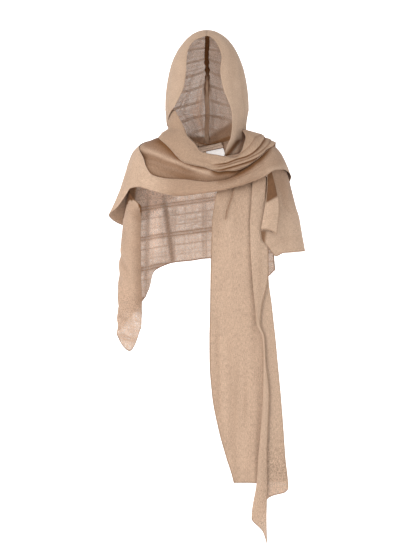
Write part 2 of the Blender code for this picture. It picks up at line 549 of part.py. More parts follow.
def main():
    for old in list(bpy.data.objects):
        bpy.data.objects.remove(old)
    gauze = material("gauze", (0.60, 0.42, 0.30))
    seam = material("seam", (0.30, 0.18, 0.10))
    label = material("label", (0.85, 0.84, 0.82), 0.7)
    make_hood(gauze)
    make_seam_tape(seam)
    make_neck_roll(gauze)
    make_neck_label(label)
    make_neck_wrap(gauze)
    make_cowl(gauze)
    make_shoulder_drape(gauze)
    make_back_shawl(gauze)
    make_sleeve_drape(gauze)
    make_tail(gauze)


main()
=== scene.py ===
# %% [markdown]
# # A hooded gauze scarf
#
# The scarf is one light, open cloth that is worn as a hood, wound under the chin and thrown over the
# shoulders. Nothing in it is stiff, so every part here is a curved sheet. This lesson loads the solid
# model as a fixed frame, then makes a finer sheet of cloth in place of each solid.

# %% Load the frame
import math

import bpy
import numpy as np
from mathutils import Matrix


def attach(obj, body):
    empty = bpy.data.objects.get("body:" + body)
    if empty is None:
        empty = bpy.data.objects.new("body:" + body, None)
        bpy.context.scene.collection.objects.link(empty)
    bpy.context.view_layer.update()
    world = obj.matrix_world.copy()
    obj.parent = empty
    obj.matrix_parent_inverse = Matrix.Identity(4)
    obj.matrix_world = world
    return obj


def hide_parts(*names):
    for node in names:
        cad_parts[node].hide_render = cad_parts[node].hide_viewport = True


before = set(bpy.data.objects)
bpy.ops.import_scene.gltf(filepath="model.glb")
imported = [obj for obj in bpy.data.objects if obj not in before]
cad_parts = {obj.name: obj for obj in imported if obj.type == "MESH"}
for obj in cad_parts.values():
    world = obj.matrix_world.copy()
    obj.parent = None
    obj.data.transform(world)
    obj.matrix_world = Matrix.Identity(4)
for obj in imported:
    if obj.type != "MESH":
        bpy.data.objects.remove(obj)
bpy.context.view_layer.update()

# %% [markdown]
# ## Sizes
# The sheets have to lie where the solids are, so they are worked out from the same named sizes and short
# tables: a form for the body, which is never built, and guide lines that say how far each sheet has turned
# about the neck, how far it has dropped and how many layers of cloth lie under it. All lengths are in
# metres and all turns in degrees, to the right from the front.

# %% Named sizes and tables
# Cloth
CLOTH = 0.0016           # wall of one sheet
AIR = 0.0005             # least air between two sheets that touch
LAYER = CLOTH + AIR      # step from one sheet to the next

# Hood
CROWN_EASE = 0.003       # crown of the hood above the head that carries it
EAR_DROP = 0.214         # crown of the head down to the hood's widest level
HOOD_LEFT = 0.115        # half width at that level
HOOD_RIGHT = 0.115
HOOD_FRONT = 0.107       # the shell in front of its axis, before the face is cut out
HOOD_BACK = 0.105
HOOD_HEM_DROP = 0.302    # hem at the nape
SEAM_TAPE_WIDTH = 0.012

# Form under the sheets
SETBACK = 0.020          # axis of the neck behind the origin
CHEST_DROP = 0.440
SHOULDER_HALF = 0.209    # half width over the arms
CHEST_HALF = 0.108       # half depth
FORM_ROUND = 2.3         # superellipse exponent of a level section

# Ends of the cloth
FLAP_DROP = 0.877        # tip of the flap at the viewer's left
SLEEVE_DROP = 0.607      # hem of the drape over the right arm
TAIL_DROP = 1.240        # hem of the long tail

ROLL_HEIGHT = 0.015      # roll at the back of the neck
ROLL_THICK = 0.0035
ROLL_TILT = 0.00030      # its rise toward the viewer's right, per degree of turn
ROLL_AIR = 0.0018        # roll to the drape behind it
NECK_TOP = 0.3070        # top of the roll, under the hood's hem
LABEL_WIDTH = 0.052
LABEL_HEIGHT = 0.024

# Level sections of the form: name, drop / CHEST_DROP, left and right / SHOULDER_HALF,
# front and back / CHEST_HALF
FORM = (
    ("ear", 0.486, 0.44, 0.44, 0.78, 0.78),
    ("jaw", 0.568, 0.435, 0.435, 0.75, 0.65),
    ("nape", 0.632, 0.46, 0.46, 0.76, 0.6),
    ("collar", 0.664, 0.595, 0.595, 0.77, 0.62),
    ("slope", 0.691, 0.73, 0.73, 0.785, 0.7),
    ("slope_end", 0.718, 0.833, 0.833, 0.805, 0.79),
    ("shoulder", 0.777, 0.938, 0.942, 0.85, 0.93),
    ("arm", 0.875, 1, 1.005, 0.89, 1),
    ("chest", 1, 1.043, 1.033, 0.907, 1),
    ("elbow", 1.182, 1.091, 1.081, 0.907, 1),
    ("hip", 1.455, 1.129, 1.11, 0.889, 1),
    ("thigh", 2.045, 1.148, 1.5, 0.85, 1),
    ("shin", 2.841, 1.148, 2, 0.8, 1),
    ("foot", 3.25, 1.148, 2, 0.8, 1),
)

# Hood below the ears: drop / HOOD_HEM_DROP, then shares of the hood's left, right, front and back
HOOD_LOW = (
    ("ear", 0.704, 1, 1, 1, 1),
    ("jaw", 0.822, 0.962, 0.945, 0.97, 0.82),
    ("nape", 0.921, 0.9, 0.93, 0.93, 0.7),
    ("hem", 1, 0.88, 0.92, 0.91, 0.755),
    ("under_wrap", 1.17, 0.88, 0.9, 0.9, 0.76),
)
SIDE_ROUND = 2.1         # exponent of the hood seen from the front
FRONT_ROUND = 4.0        # exponents of its centre seam, in front of the axis and behind it
BACK_ROUND = 2.4

# Face opening, from its top to its lower end: drop / EAR_DROP, half width / the hood's half width
RIM_LEFT = (
    (0.098, 0), (0.15, 0.27), (0.217, 0.393), (0.29, 0.452), (0.38, 0.475), (0.53, 0.487), (0.64, 0.512),
    (0.76, 0.55), (0.853, 0.632), (0.93, 0.713), (0.995, 0.774),
)
RIM_RIGHT = (
    (0.098, 0), (0.113, 0.085), (0.159, 0.181), (0.223, 0.253), (0.31, 0.322), (0.4, 0.345), (0.53, 0.312),
    (0.66, 0.335), (0.8, 0.396), (0.93, 0.492), (1, 0.545),
)
# Below the ears the rim is given by its turn: drop / HOOD_HEM_DROP, turn
RIM_LOW_LEFT = ((0.704, 52.5), (0.753, 63), (0.8, 73), (0.83, 82))
RIM_LOW_RIGHT = ((0.704, 34), (0.79, 39), (0.9, 40.5), (0.975, 39.5), (1.055, 33), (1.15, 28))
# Hem from the rim's lower end to the nape: share of the way, drop / HOOD_HEM_DROP
HEM_LEFT = ((0, 0.83), (0.25, 0.868), (0.5, 0.925), (0.75, 0.975), (1, 1))
HEM_RIGHT = ((0, 1.15), (0.2, 1.11), (0.38, 0.99), (0.6, 0.955), (0.8, 0.975), (1, 1))
SEAM_FRONT_TURN = 65.0   # tilt of the seam's front end above level, seen from the ear
SEAM_CORNER_TURN = 128.0  # tilt where the crown seam turns down the back

# Sheets on the form. Each guide line runs along the cloth, and a row is one section of it:
# turn, drop / CHEST_DROP, lift in layers
WRAP_TOP = (
    (-104, 0.5, 5.1), (-88, 0.495, 6), (-72, 0.492, 6.6), (-58, 0.495, 6.2), (-47, 0.556, 6),
    (-31.5, 0.672, 6), (-19.5, 0.718, 6), (-10, 0.765, 6), (0.7, 0.778, 6), (16, 0.787, 6), (29, 0.796, 6),
    (40, 0.803, 6.2), (47, 0.765, 6.8), (54, 0.705, 7.4), (70, 0.66, 7.2), (93, 0.66, 6.8),
    (115, 0.68, 8.4), (133, 0.73, 10), (143, 0.84, 9.6), (146, 0.96, 9.2),
)
WRAP_LOW = (
    (-104, 0.64, 6.5), (-92, 0.65, 6), (-78, 0.668, 6), (-59.6, 0.711, 5.8), (-49.5, 0.755, 5.8),
    (-42, 0.799, 5.8), (-34, 0.831, 5.8), (-20, 0.85, 5.8), (-5, 0.862, 5.8), (10, 0.89, 5.8),
    (20, 0.908, 6), (38, 0.891, 6.6), (52, 0.852, 7.6), (62, 0.795, 8.4), (71, 0.752, 8.2),
    (88, 0.736, 7.5), (105, 0.75, 8.7), (119, 0.785, 10.8), (126, 0.88, 11), (127, 0.99, 11),
)
COWL_LINES = (
    ((-116, 0.655, 3), (-104, 0.642, 3), (-92, 0.635, 3), (-76, 0.64, 3), (-60, 0.668, 2.8),
     (-42, 0.745, 2.6), (-20, 0.8, 2.4), (5, 0.815, 2.4), (30, 0.81, 2.4), (50, 0.77, 2.4)),
    ((-116, 0.69, 2.6), (-104, 0.695, 2.6), (-90, 0.705, 2.8), (-78, 0.741, 4.2), (-63, 0.774, 4.4),
     (-46, 0.822, 3.9), (-22, 0.85, 3.2), (5, 0.862, 2.6), (30, 0.855, 2.6), (50, 0.81, 2.4)),
    ((-116, 0.735, 2.4), (-104, 0.745, 2.4), (-93, 0.755, 2.4), (-79, 0.79, 2.2), (-63, 0.816, 2),
     (-47, 0.862, 1.8), (-22, 0.895, 1.6), (6, 0.9, 1.6), (30, 0.885, 1.8), (51, 0.84, 2)),
    ((-116, 0.79, 3.8), (-104, 0.805, 3.3), (-95, 0.815, 3), (-80, 0.838, 3.2), (-64, 0.862, 4),
     (-48, 0.897, 4), (-25, 0.932, 3.2), (7, 0.935, 2.2), (30, 0.915, 2), (52, 0.868, 2)),
    ((-116, 0.84, 3.65), (-104, 0.855, 3.2), (-97, 0.865, 3.2), (-81, 0.885, 2.6), (-65, 0.905, 3),
     (-49, 0.94, 3), (-26, 0.964, 2.2), (7, 0.955, 1.8), (30, 0.932, 1.8), (52, 0.885, 2)),
)
DRAPE_TOP = (
    (-180, 0.64, 6.4), (-150, 0.64, 6), (-120, 0.645, 5.6), (-100, 0.685, 5.6), (-88, 0.716, 5.8),
    (-78, 0.75, 6.2), (-70.5, 0.8, 6.4), (-66.3, 0.862, 6.2), (-62, 0.905, 6), (-50, 0.93, 6),
    (-31.5, 0.936, 6.2), (-16, 0.946, 6.8), (1.6, 0.952, 7), (15, 0.946, 6.6), (27, 0.938, 5.6),
    (38, 0.915, 5), (49, 0.868, 5.4), (60, 0.812, 6.4), (72, 0.752, 6.2), (86, 0.715, 5.2), (104, 0.7, 5.4),
    (122, 0.685, 6), (150, 0.65, 6.4), (180, 0.64, 6.4),
)
DRAPE_LOW = (
    (-180, 0.985, 4), (-150, 0.985, 4.4), (-125, 1.08, 8), (-108, 1.21, 17.5), (-94, 1.158, 22.5),
    (-86, 1.11, 12), (-81.5, 1.035, 6.4), (-77.5, 0.984, 5.2), (-71, 0.978, 4.8), (-62, 1.001, 4.6),
    (-50, 1.027, 4.8), (-37, 1.037, 5.2), (-12, 1.023, 5.4), (16, 1.008, 5.6), (38, 0.984, 7.4),
    (54, 0.95, 10), (62, 0.921, 11.5), (70, 0.881, 11.6), (77, 0.873, 10), (85, 0.89, 8.8), (100, 0.94, 10),
    (122, 0.955, 8), (150, 0.97, 5.6), (180, 0.985, 4),
)
# Rows of the drape, closer together over the shoulders; its lift grows faster toward the hem
DRAPE_ROWS = (0.0, 0.07, 0.14, 0.22, 0.32, 0.44, 0.60, 0.80, 1.0)
DRAPE_FLARE = 2.6
SHAWL_TOP = (
    (-88, 0.8, 0.9), (-92, 0.8, 0.9), (-97, 0.8, 0.8), (-102, 0.8, 0.8), (-108, 0.805, 0.8),
    (-117, 0.81, 0.8), (-126, 0.815, 0.8), (-140, 0.82, 0.8), (-157, 0.82, 0.8), (-183, 0.82, 0.8),
    (-207, 0.82, 1.2), (-227, 0.82, 1.1), (-240, 0.82, 0.8), (-248, 0.82, 0.8),
)
# Hem of the shawl: turn, drop / FLAP_DROP, lift in layers
SHAWL_HEM = (
    (-68.6, 0.926, 2), (-75.7, 0.998, 3), (-86, 0.952, 4.2), (-96, 0.936, 3), (-107, 0.885, 1.2),
    (-117.5, 0.806, 0.2), (-121, 0.752, 1.2), (-137, 0.722, 1.4), (-156, 0.716, 1), (-184, 0.708, 1),
    (-207, 0.72, 1), (-228, 0.742, 1), (-242, 0.77, 1.2), (-250, 0.746, 1.2),
)
# Front edge of the flap: drop / CHEST_DROP, turn back from the hem's own turn
FLAP_SWEEP = ((0.8, -22), (0.95, -16), (1.035, -9), (1.065, -5), (1.095, -2), (1.3, -1.5), (1.9, 0))
SLEEVE_TOP = (
    (150, 0.83, 2.4), (128, 0.83, 2.6), (108, 0.82, 3.4), (94, 0.815, 3.6), (84, 0.815, 3.2),
    (77, 0.825, 3.2), (72, 0.84, 3.6), (68.5, 0.868, 4.6), (66.5, 0.88, 5.4), (66, 0.884, 6.4),
    (67, 0.88, 7.4), (69, 0.872, 7.4),
)
SLEEVE_MID = (
    (150, 1.1, 2.2), (128, 1.1, 4.6), (108, 1.09, 8.8), (94, 1.08, 12), (84, 1.07, 6.6), (77, 1.065, 4),
    (72, 1.06, 4.4), (67.5, 1.055, 6), (64.2, 1.05, 7), (63.6, 1.045, 8.4), (66, 1.05, 10.2),
    (71.5, 1.065, 10),
)
# Hem of the sleeve drape: turn, drop / SLEEVE_DROP, lift in layers
SLEEVE_HEM = (
    (150, 0.93, 2.4), (130, 0.96, 7.4), (110, 0.985, 15), (93, 0.994, 20), (82, 1, 8.4), (75, 1.004, 4.2),
    (70, 1.018, 5.6), (65, 0.978, 7.2), (60.5, 0.94, 8.2), (59.6, 0.898, 9.6), (64.5, 0.902, 12),
    (69, 0.922, 11.4),
)
# Long tail, by its level sections: drop / TAIL_DROP, then the places across of its left edge, its bend
# at the right, its front fold and its rolled free edge, / SHOULDER_HALF
TAIL_LEVELS = (
    ("under_band", 0.325, 0.165, 0.78, 0.575, 0.735),
    ("bust", 0.379, 0.101, 0.806, 0.565, 0.742),
    ("waist", 0.424, 0.064, 0.804, 0.548, 0.748),
    ("belly", 0.478, 0.055, 0.79, 0.554, 0.774),
    ("hip", 0.539, 0.045, 0.788, 0.573, 0.774),
    ("thigh", 0.611, 0.038, 0.836, 0.613, 0.693),
    ("above_knee", 0.643, 0.034, 0.856, 0.628, 0.677),
    ("knee", 0.674, 0.03, 0.877, 0.702, 0.735),
    ("under_knee", 0.724, 0.032, 0.905, 0.72, 0.752),
    ("calf", 0.8, 0.064, 0.948, 0.715, 0.795),
    ("shin", 0.882, 0.157, 0.987, 0.684, 0.777),
    ("ankle", 0.932, 0.239, 1.007, 0.658, 0.767),
    ("hem", 0.991, 0.342, 1.044, 0.634, 0.771),
    ("roll_end", 1.067, 0.4, 1.06, 0.569, 0.76),
    ("above_tip", 1.091, 0.4, 1.06, 0.664, 0.762),
    ("tip", 1.131, 0.4, 1.06, 0.724, 0.772),
)
# Columns of the tail's cloth: part it belongs to, share of the way across that part, lift in layers at
# its top and at its hem, and the hem's drop / TAIL_DROP
TAIL_ACROSS = (
    ("left_edge", "behind", 0, 0.9, 2, 0.992),
    ("pleat_in", "behind", 0.22, 0.7, 0.8, 0.992),
    ("pleat_out", "behind", 0.42, 1, 2.6, 0.992),
    ("behind_middle", "behind", 0.72, 0.7, 0.8, 0.99),
    ("behind_bend", "behind", 0.93, 0.7, 1.4, 0.992),
    ("bend", "behind", 1, 2, 4.6, 1.002),
    ("before_bend", "front", 0.12, 3, 7.2, 1.012),
    ("front", "front", 0.5, 3.1, 6.6, 1.02),
    ("before_fold", "front", 0.84, 3.1, 6.6, 1.045),
    ("fold", "front", 1, 4.5, 9.4, 1.067),
    ("roll", "edge", 0.4, 6, 12.2, 1.095),
    ("free_edge", "edge", 1, 5.5, 10.8, 1.126),
)
TAIL_TOP_LEFT = 0.343    # top of the tail under the chest band, / TAIL_DROP
TAIL_TOP_RIGHT = 0.325
TAIL_TUCK = 1.3          # lift of its top edge toward the band, in layers
TAIL_TUCK_FALL = 15.98   # how fast that lift is lost, per share of the length
TAIL_EVEN = 0.992        # level to which all columns fall together, / TAIL_DROP
TAIL_POINT = 0.70        # share of the length below which the hem's slant begins
TAIL_HANG = 0.46         # below this the tail hangs clear and its layers open, / TAIL_DROP

# %% [markdown]
# ## From a table to a surface
# A smooth curve through a few rows gives as many points as we like. That is why the same tables can make a
# light solid for the physics and a fine sheet for the picture.

# %% Curves and the form
def smooth(xs, ys, x):
    """Monotone cubic through the rows xs, ys, read at x."""
    xs, ys, x = (np.asarray(v, float) for v in (xs, ys, x))
    step = np.diff(xs)
    slope = np.diff(ys) / step
    tangent = np.zeros_like(ys)
    for i in range(1, len(xs) - 1):
        before, after = slope[i - 1], slope[i]
        if before * after > 0:
            near = 2 * step[i] + step[i - 1]
            far = step[i] + 2 * step[i - 1]
            tangent[i] = (near + far) / (near / before + far / after)
    tangent[0], tangent[-1] = slope[0], slope[-1]
    i = np.clip(np.searchsorted(xs, x) - 1, 0, len(step) - 1)
    t = np.clip((x - xs[i]) / step[i], 0, 1)
    h = step[i]
    return ((1 + 2 * t) * (1 - t) ** 2 * ys[i] + t * (1 - t) ** 2 * h * tangent[i]
            + t * t * (3 - 2 * t) * ys[i + 1] + t * t * (t - 1) * h * tangent[i + 1])


def column(rows, k, x):
    """Column k of a table, read at x in its first column of numbers."""
    start = 1 if isinstance(rows[0][0], str) else 0
    return smooth([r[start] for r in rows], [r[k] for r in rows], x)


def form_point(turn, drop):
    """Point of the form at a turn in degrees and a drop in metres."""
    turn, drop = np.broadcast_arrays(np.asarray(turn, float), np.asarray(drop, float))
    share = drop / CHEST_DROP
    sine, cosine = np.sin(np.radians(turn)), np.cos(np.radians(turn))
    side = np.where(sine < 0, column(FORM, 2, share), column(FORM, 3, share)) * SHOULDER_HALF
    depth = np.where(cosine > 0, column(FORM, 4, share), column(FORM, 5, share)) * CHEST_HALF
    reach = (np.abs(sine) / side) ** FORM_ROUND + (np.abs(cosine) / depth) ** FORM_ROUND
    r = reach ** (-1 / FORM_ROUND)
    return np.stack([r * sine, SETBACK - r * cosine, -drop], -1)


def form_turn(across, drop):
    """Turn at which the front of the form is a distance across from the middle, in metres."""
    share = drop / CHEST_DROP
    side = column(FORM, 3, share) * SHOULDER_HALF
    depth = column(FORM, 4, share) * CHEST_HALF
    ahead = depth * (1 - (np.abs(across) / side) ** FORM_ROUND) ** (1 / FORM_ROUND)
    return np.degrees(np.arctan2(across, ahead))


def form_normal(turn, drop):
    """Unit vector off the form, evened out over the neck's hollow."""
    turn_step, drop_step = 0.5, 0.025
    along = form_point(turn + turn_step, drop) - form_point(turn - turn_step, drop)
    down = form_point(turn, drop + drop_step) - form_point(turn, drop - drop_step)
    normal = np.cross(down, along)
    normal /= np.linalg.norm(normal, axis=-1, keepdims=True)
    outward = form_point(turn, drop) - [0, SETBACK, 0]
    facing = np.sign((normal[..., :2] * outward[..., :2]).sum(-1, keepdims=True))
    return normal * facing


def on_form(turn, drop, lift):
    """Points at a turn, a drop in metres and a lift in metres."""
    return form_point(turn, drop) + np.asarray(lift)[..., None] * form_normal(turn, drop)


def read_line(line, count):
    """Guide line read at count + 1 even places: turn, drop share and lift in layers."""
    rows = np.asarray(line, float)
    places = np.linspace(0, len(rows) - 1, count + 1)
    return np.stack([smooth(np.arange(len(rows)), rows[:, k], places) for k in range(3)], -1)


def between(lines, rows):
    """Grid from guide lines read at the same places, with rows as shares of the way down."""
    stack = np.stack(lines, 1)
    at = np.linspace(0, 1, stack.shape[1])
    down = np.asarray(rows)
    grid = np.empty((stack.shape[0], len(down), 3))
    for i in range(stack.shape[0]):
        for k in range(3):
            grid[i, :, k] = smooth(at, stack[i, :, k], down)
    return grid


def grid_normals(points):
    """Unit vectors off the surface of a grid."""
    normal = np.cross(np.gradient(points, axis=0), np.gradient(points, axis=1))
    return normal / np.linalg.norm(normal, axis=-1, keepdims=True)


# %% Points of the hood
def hood_reach(direction, width):
    """Distance from the middle of the head to the hood's shell along unit vectors, above the ears."""
    x, y, z = (np.abs(direction[..., k]) for k in range(3))
    front = direction[..., 1] < 0
    depth = np.where(front, HOOD_FRONT, HOOD_BACK)
    power = np.where(front, FRONT_ROUND, BACK_ROUND)
    seam = ((y / depth) ** power + (z / (EAR_DROP + CROWN_EASE)) ** power) ** (1 / power)
    return ((x / width) ** SIDE_ROUND + seam ** SIDE_ROUND) ** (-1 / SIDE_ROUND)


def rim_direction(half_width, drop, width):
    """Unit vector from the middle of the head to a point of the rim."""
    height = (EAR_DROP - drop) / (EAR_DROP + CROWN_EASE)
    seam = (1 - (half_width / width) ** SIDE_ROUND) ** (1 / SIDE_ROUND)
    y = -HOOD_FRONT * np.clip(seam ** FRONT_ROUND - height ** FRONT_ROUND, 1e-6, 1) ** (1 / FRONT_ROUND)
    direction = np.stack([half_width, y, EAR_DROP - drop], -1)
    return direction / np.linalg.norm(direction, axis=-1, keepdims=True)


def spread(start, end, share):
    """Unit vectors between two unit vectors."""
    angle = np.arccos(np.clip((start * end).sum(-1, keepdims=True), -1, 1))
    share = np.asarray(share)[..., None]
    return (np.sin((1 - share) * angle) * start + np.sin(share * angle) * end) / np.sin(angle)


def hood_half(side, across=18, over=11, below=5):
    """Grid of one half: columns from the rim back to the seam, rows from the hem up to the seam."""
    left = side < 0
    width = HOOD_LEFT if left else HOOD_RIGHT
    rim, rim_low, hem = (
        (RIM_LEFT, RIM_LOW_LEFT, HEM_LEFT) if left else (RIM_RIGHT, RIM_LOW_RIGHT, HEM_RIGHT))
    place = np.linspace(0, 1, across + 1)
    first = rim_low[0][1]
    turns = np.radians(first + (180 - first) * place)
    level = np.stack([np.sin(turns), -np.cos(turns), np.zeros_like(turns)], -1)
    tilt = np.radians(SEAM_FRONT_TURN + (SEAM_CORNER_TURN - SEAM_FRONT_TURN) * place)
    seam = np.stack([np.zeros_like(tilt), -np.cos(tilt), np.sin(tilt)], -1)
    rise = np.linspace(0, 1, over + 1)
    even = spread(level[:, None], seam[:, None], np.broadcast_to(rise, (across + 1, over + 1)))
    rows = np.array(rim[::-1])
    rows_at = np.linspace(0, 1, len(rows))
    rim_line = rim_direction(
        smooth(rows_at, rows[:, 1], rise) * width, smooth(rows_at, rows[:, 0], rise) * EAR_DROP, width)
    even += (rim_line - even[0])[None] * (1 - place[:, None, None]) ** 2
    even /= np.linalg.norm(even, axis=-1, keepdims=True)
    head = np.array([0, SETBACK, -EAR_DROP])
    upper = head + even * hood_reach(even, width)[..., None]
    lowest = column(hem, 1, place) * HOOD_HEM_DROP
    fall = np.linspace(1, 0, below + 1)[:-1]
    drop = EAR_DROP + (lowest[:, None] - EAR_DROP) * fall[None]
    share = drop / HOOD_HEM_DROP
    edge = column(rim_low, 1, share)
    turn = np.radians(edge + (180 - edge) * place[:, None])
    side_half = column(HOOD_LOW, 2 if left else 3, share) * width
    depth = np.where(np.cos(turn) > 0, column(HOOD_LOW, 4, share) * HOOD_FRONT,
                     column(HOOD_LOW, 5, share) * HOOD_BACK)
    r = ((np.sin(turn) / side_half) ** SIDE_ROUND + (np.abs(np.cos(turn)) / depth) ** SIDE_ROUND)
    r = r ** (-1 / SIDE_ROUND)
    lower = np.stack([r * np.sin(turn), SETBACK - r * np.cos(turn), -drop], -1)
    grid = np.concatenate([lower, upper], 1)
    grid[..., 0] = side * np.maximum(grid[..., 0], 0)
    return grid


# %% [markdown]
# ## Creases in the cloth
# Gauze never lies quite flat. Small soft creases come from smooth noise, stretched along the way the cloth
# is pulled. Deliberate folds, such as the pleats of the neck wrap, are drawn as lines: the cloth stands up
# on one side of the line and tucks in on the other. The shade in their hollows and the light on their
# crests are painted into the colour.

# %% Noise
def noise(u, v, seed):
    """Smooth noise from -1 to 1 with one bump per unit."""
    table = np.random.default_rng(seed).uniform(-1, 1, (64, 64))
    u, v = np.broadcast_arrays(np.asarray(u, float), np.asarray(v, float))
    iu, iv = np.floor(u).astype(int), np.floor(v).astype(int)
    fu, fv = u - iu, v - iv
    fu, fv = fu * fu * (3 - 2 * fu), fv * fv * (3 - 2 * fv)
    a, b = table[iu % 64, iv % 64], table[(iu + 1) % 64, iv % 64]
    c, d = table[iu % 64, (iv + 1) % 64], table[(iu + 1) % 64, (iv + 1) % 64]
    return a + (b - a) * fu + (c - a) * fv + (a - b - c + d) * fu * fv


def crumple(u, v, size_u, size_v, seed):
    """Creases of three sizes, the largest size_u by size_v."""
    total = 0
    for k, share in enumerate((0.6, 0.3, 0.15)):
        total = total + share * noise(u / size_u * 2 ** k + 7 * k, v / size_v * 2 ** k + 3 * k, seed + k)
    return total


def rise(low, high, x):
    """0 below low, 1 above high and smooth between."""
    t = np.clip((x - low) / (high - low), 0, 1)
    return t * t * (3 - 2 * t)


def bump(middle, width, x):
    """1 at the middle and fading to both sides."""
    return np.exp(-((x - middle) / width) ** 2)


def half_round(share):
    """Half a circle over the shares from 0 to 1."""
    return np.sqrt(np.clip(1 - (2 * share - 1) ** 2, 0, 1))


def painted_valley_shade(folds, strength):
    """Painted shade in the hollows of soft folds."""
    return strength * rise(0.05, -0.75, folds / np.abs(folds).max())


print("crease sample", np.round(crumple(np.linspace(0, 0.2, 5), 0.1, 0.04, 0.06, 3), 3))

# %% Pleat lines
def along(path, x):
    """Height of a drawn line at x, and a weight that fades at the line's two ends."""
    xs, ys = [p[0] for p in path], [p[1] for p in path]
    reach = xs[-1] - xs[0]
    weight = rise(xs[0] - 0.02 * reach, xs[0] + 0.15 * reach, x)
    weight = weight * (1 - rise(xs[-1] - 0.12 * reach, xs[-1], x))
    return smooth(xs, ys, np.clip(x, xs[0], xs[-1])), weight


def pleat(across, down, path, height, width):
    """Lift of a pleat along a line, how deep in its painted shadow a point is, and how near its painted
    highlight on the crest.
    """
    line, weight = along(path, across)
    below = down - line
    lift = height * np.exp(-np.abs(below) / width) * (1 - 2 * rise(-0.0014, 0.0014, below))
    shade = rise(-0.0016, 0.0006, below) * np.exp(-np.clip(below, 0, None) / (width * 0.60))
    crest = rise(0.0002, -0.0020, below) * np.exp(np.clip(below, None, 0) / (width * 0.8))
    return lift * weight, shade * weight, crest * weight


# %% Painted shadow under the edge of another sheet
LIP_RAISE = 0.009        # how far the wrap's lower edge is lifted in front
LIP_TURN = 24.0          # turn at which it is lifted most


def edge_drop(line, turn):
    """Drop of a guide line at a turn, in metres."""
    return column(line, 1, turn) * CHEST_DROP


def lip_rise(turn):
    """How far the wrap's lower edge is lifted at a turn."""
    return LIP_RAISE * bump(LIP_TURN, 15, turn)


def under_edge(distance, reach):
    """How deep a point lies in the painted shadow under an edge, from its distance beyond the edge."""
    return rise(-0.006, 0.0, distance) * np.exp(-np.clip(distance, 0, None) / reach)


# %% [markdown]
# ## A sheet of cloth
# Each sheet starts as a grid of points. Its UV map holds real lengths along the cloth, in metres, so that
# the weave has the same size on every piece and bends with the folds. Three more values are kept at each
# point: the distance to the nearest hem, its painted shading, and how sheer the cloth looks there. The
# material reads them to draw the hem, the painted shade in folds and under edges, and the holes of the
# weave. Painted shading below 0 is painted light that makes the thread lighter, and above 1 it is still
# deeper shade. Solidify then gives the sheet its thickness.

# %% Lengths along the cloth
def arcs(points):
    """Lengths along the cloth, across and down, for every point of a grid."""
    across = np.linalg.norm(np.diff(points, axis=0), axis=-1)
    down = np.linalg.norm(np.diff(points, axis=1), axis=-1)
    u = np.concatenate([np.zeros((1, points.shape[1])), np.cumsum(across, 0)])
    v = np.concatenate([np.zeros((points.shape[0], 1)), np.cumsum(down, 1)], 1)
    return u, v


def straight_uv(points, row):
    """Lengths down the cloth, and across it as in one row, so that the threads run straight."""
    u, v = arcs(points)
    return np.repeat(u[:, row][:, None], points.shape[1], 1), v


# %% Build a sheet
GAUZE = 0.0008           # thickness of the visible cloth


def deselect_all():
    for each in bpy.context.selected_objects:
        each.select_set(False)


def apply(piece, kind, **values):
    """Adds one modifier with the given values and applies it."""
    deselect_all()
    bpy.context.view_layer.objects.active = piece
    piece.select_set(True)
    added = piece.modifiers.new(kind.title(), kind)
    for key, value in values.items():
        setattr(added, key, value)
    bpy.ops.object.modifier_apply(modifier=added.name)


def point_value(mesh, name, values):
    """Keeps one number for each point of a mesh."""
    kept = mesh.attributes.new(name, "FLOAT", "POINT")
    kept.data.foreach_set("value", np.asarray(values, np.float32).reshape(-1))


def cloth(name, points, outer, inner, uv, tuck=None, sheer=None, thick=GAUZE, closed=False, hems="news"):
    """Sheet of cloth from a grid of points. hems names its hemmed edges: north, east, south, west."""
    across, down = points.shape[:2]
    if closed:
        across -= 1
    u, v = uv
    full_u, full_v = arcs(points)
    near = np.full(points.shape[:2], 1.0)
    for side, distance in (("n", full_v), ("s", full_v[:, -1:] - full_v), ("w", full_u),
                           ("e", full_u[-1:] - full_u)):
        if side in hems:
            near = np.minimum(near, distance)
    rows = np.arange(across if closed else across - 1)
    i, j = (k.ravel() for k in np.meshgrid(rows, np.arange(down - 1), indexing="ij"))
    columns = np.stack([i, i, i + 1, i + 1], -1)
    steps = np.stack([j, j + 1, j + 1, j], -1)
    index = (columns % across) * down + steps
    mesh = bpy.data.meshes.new(name)
    mesh.from_pydata(points[:across].reshape(-1, 3).tolist(), [], index.tolist())
    layer = mesh.uv_layers.new(name="cloth")
    places = np.stack([u[columns, steps], v[columns, steps]], -1).astype(np.float32)
    layer.data.foreach_set("uv", places.ravel())
    point_value(mesh, "edge", near[:across])
    for value_name, values in (("tuck", tuck), ("sheer", sheer)):
        values = np.zeros(points.shape[:2]) if values is None else values + np.zeros(points.shape[:2])
        point_value(mesh, value_name, np.clip(values, -1 if value_name == "tuck" else 0, 2)[:across])
    mesh.materials.append(outer)
    mesh.materials.append(inner)
    piece = bpy.data.objects.new(name, mesh)
    bpy.context.scene.collection.objects.link(piece)
    normals = np.array([p.normal[:] for p in mesh.polygons])
    middles = np.array([p.center[:] for p in mesh.polygons])
    if (normals[:, :2] * (middles - [0, SETBACK, 0])[:, :2]).sum() < 0:
        mesh.flip_normals()
    apply(piece, "SOLIDIFY", thickness=thick, offset=0.0, use_even_offset=False, material_offset=1)
    piece.data.shade_smooth()
    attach(piece, "root")
    print(name, len(piece.data.polygons), "faces")
    return piece


def declare(node):
    """Hides the solid that the cloth stands for."""
    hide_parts(node)


def rows_of(grid):
    """Turn, drop in metres and lift in metres of a grid of turns, drop shares and layers."""
    return grid[..., 0], grid[..., 1] * CHEST_DROP, grid[..., 2] * LAYER


# %% [markdown]
# ## The weave
# The cloth is an open plain weave with thick and thin threads, and a woven check of darker lines about
# 85 mm apart. All finishes share it, so it is a node group with named inputs. It reads the UV map in metres.
# Noise stretched along both thread directions makes the slubs and the holes between them, and distances to
# repeating lines make the check.

# %% Small node helpers
CHECK_STEP = 0.0853      # from one line of the woven check to the next


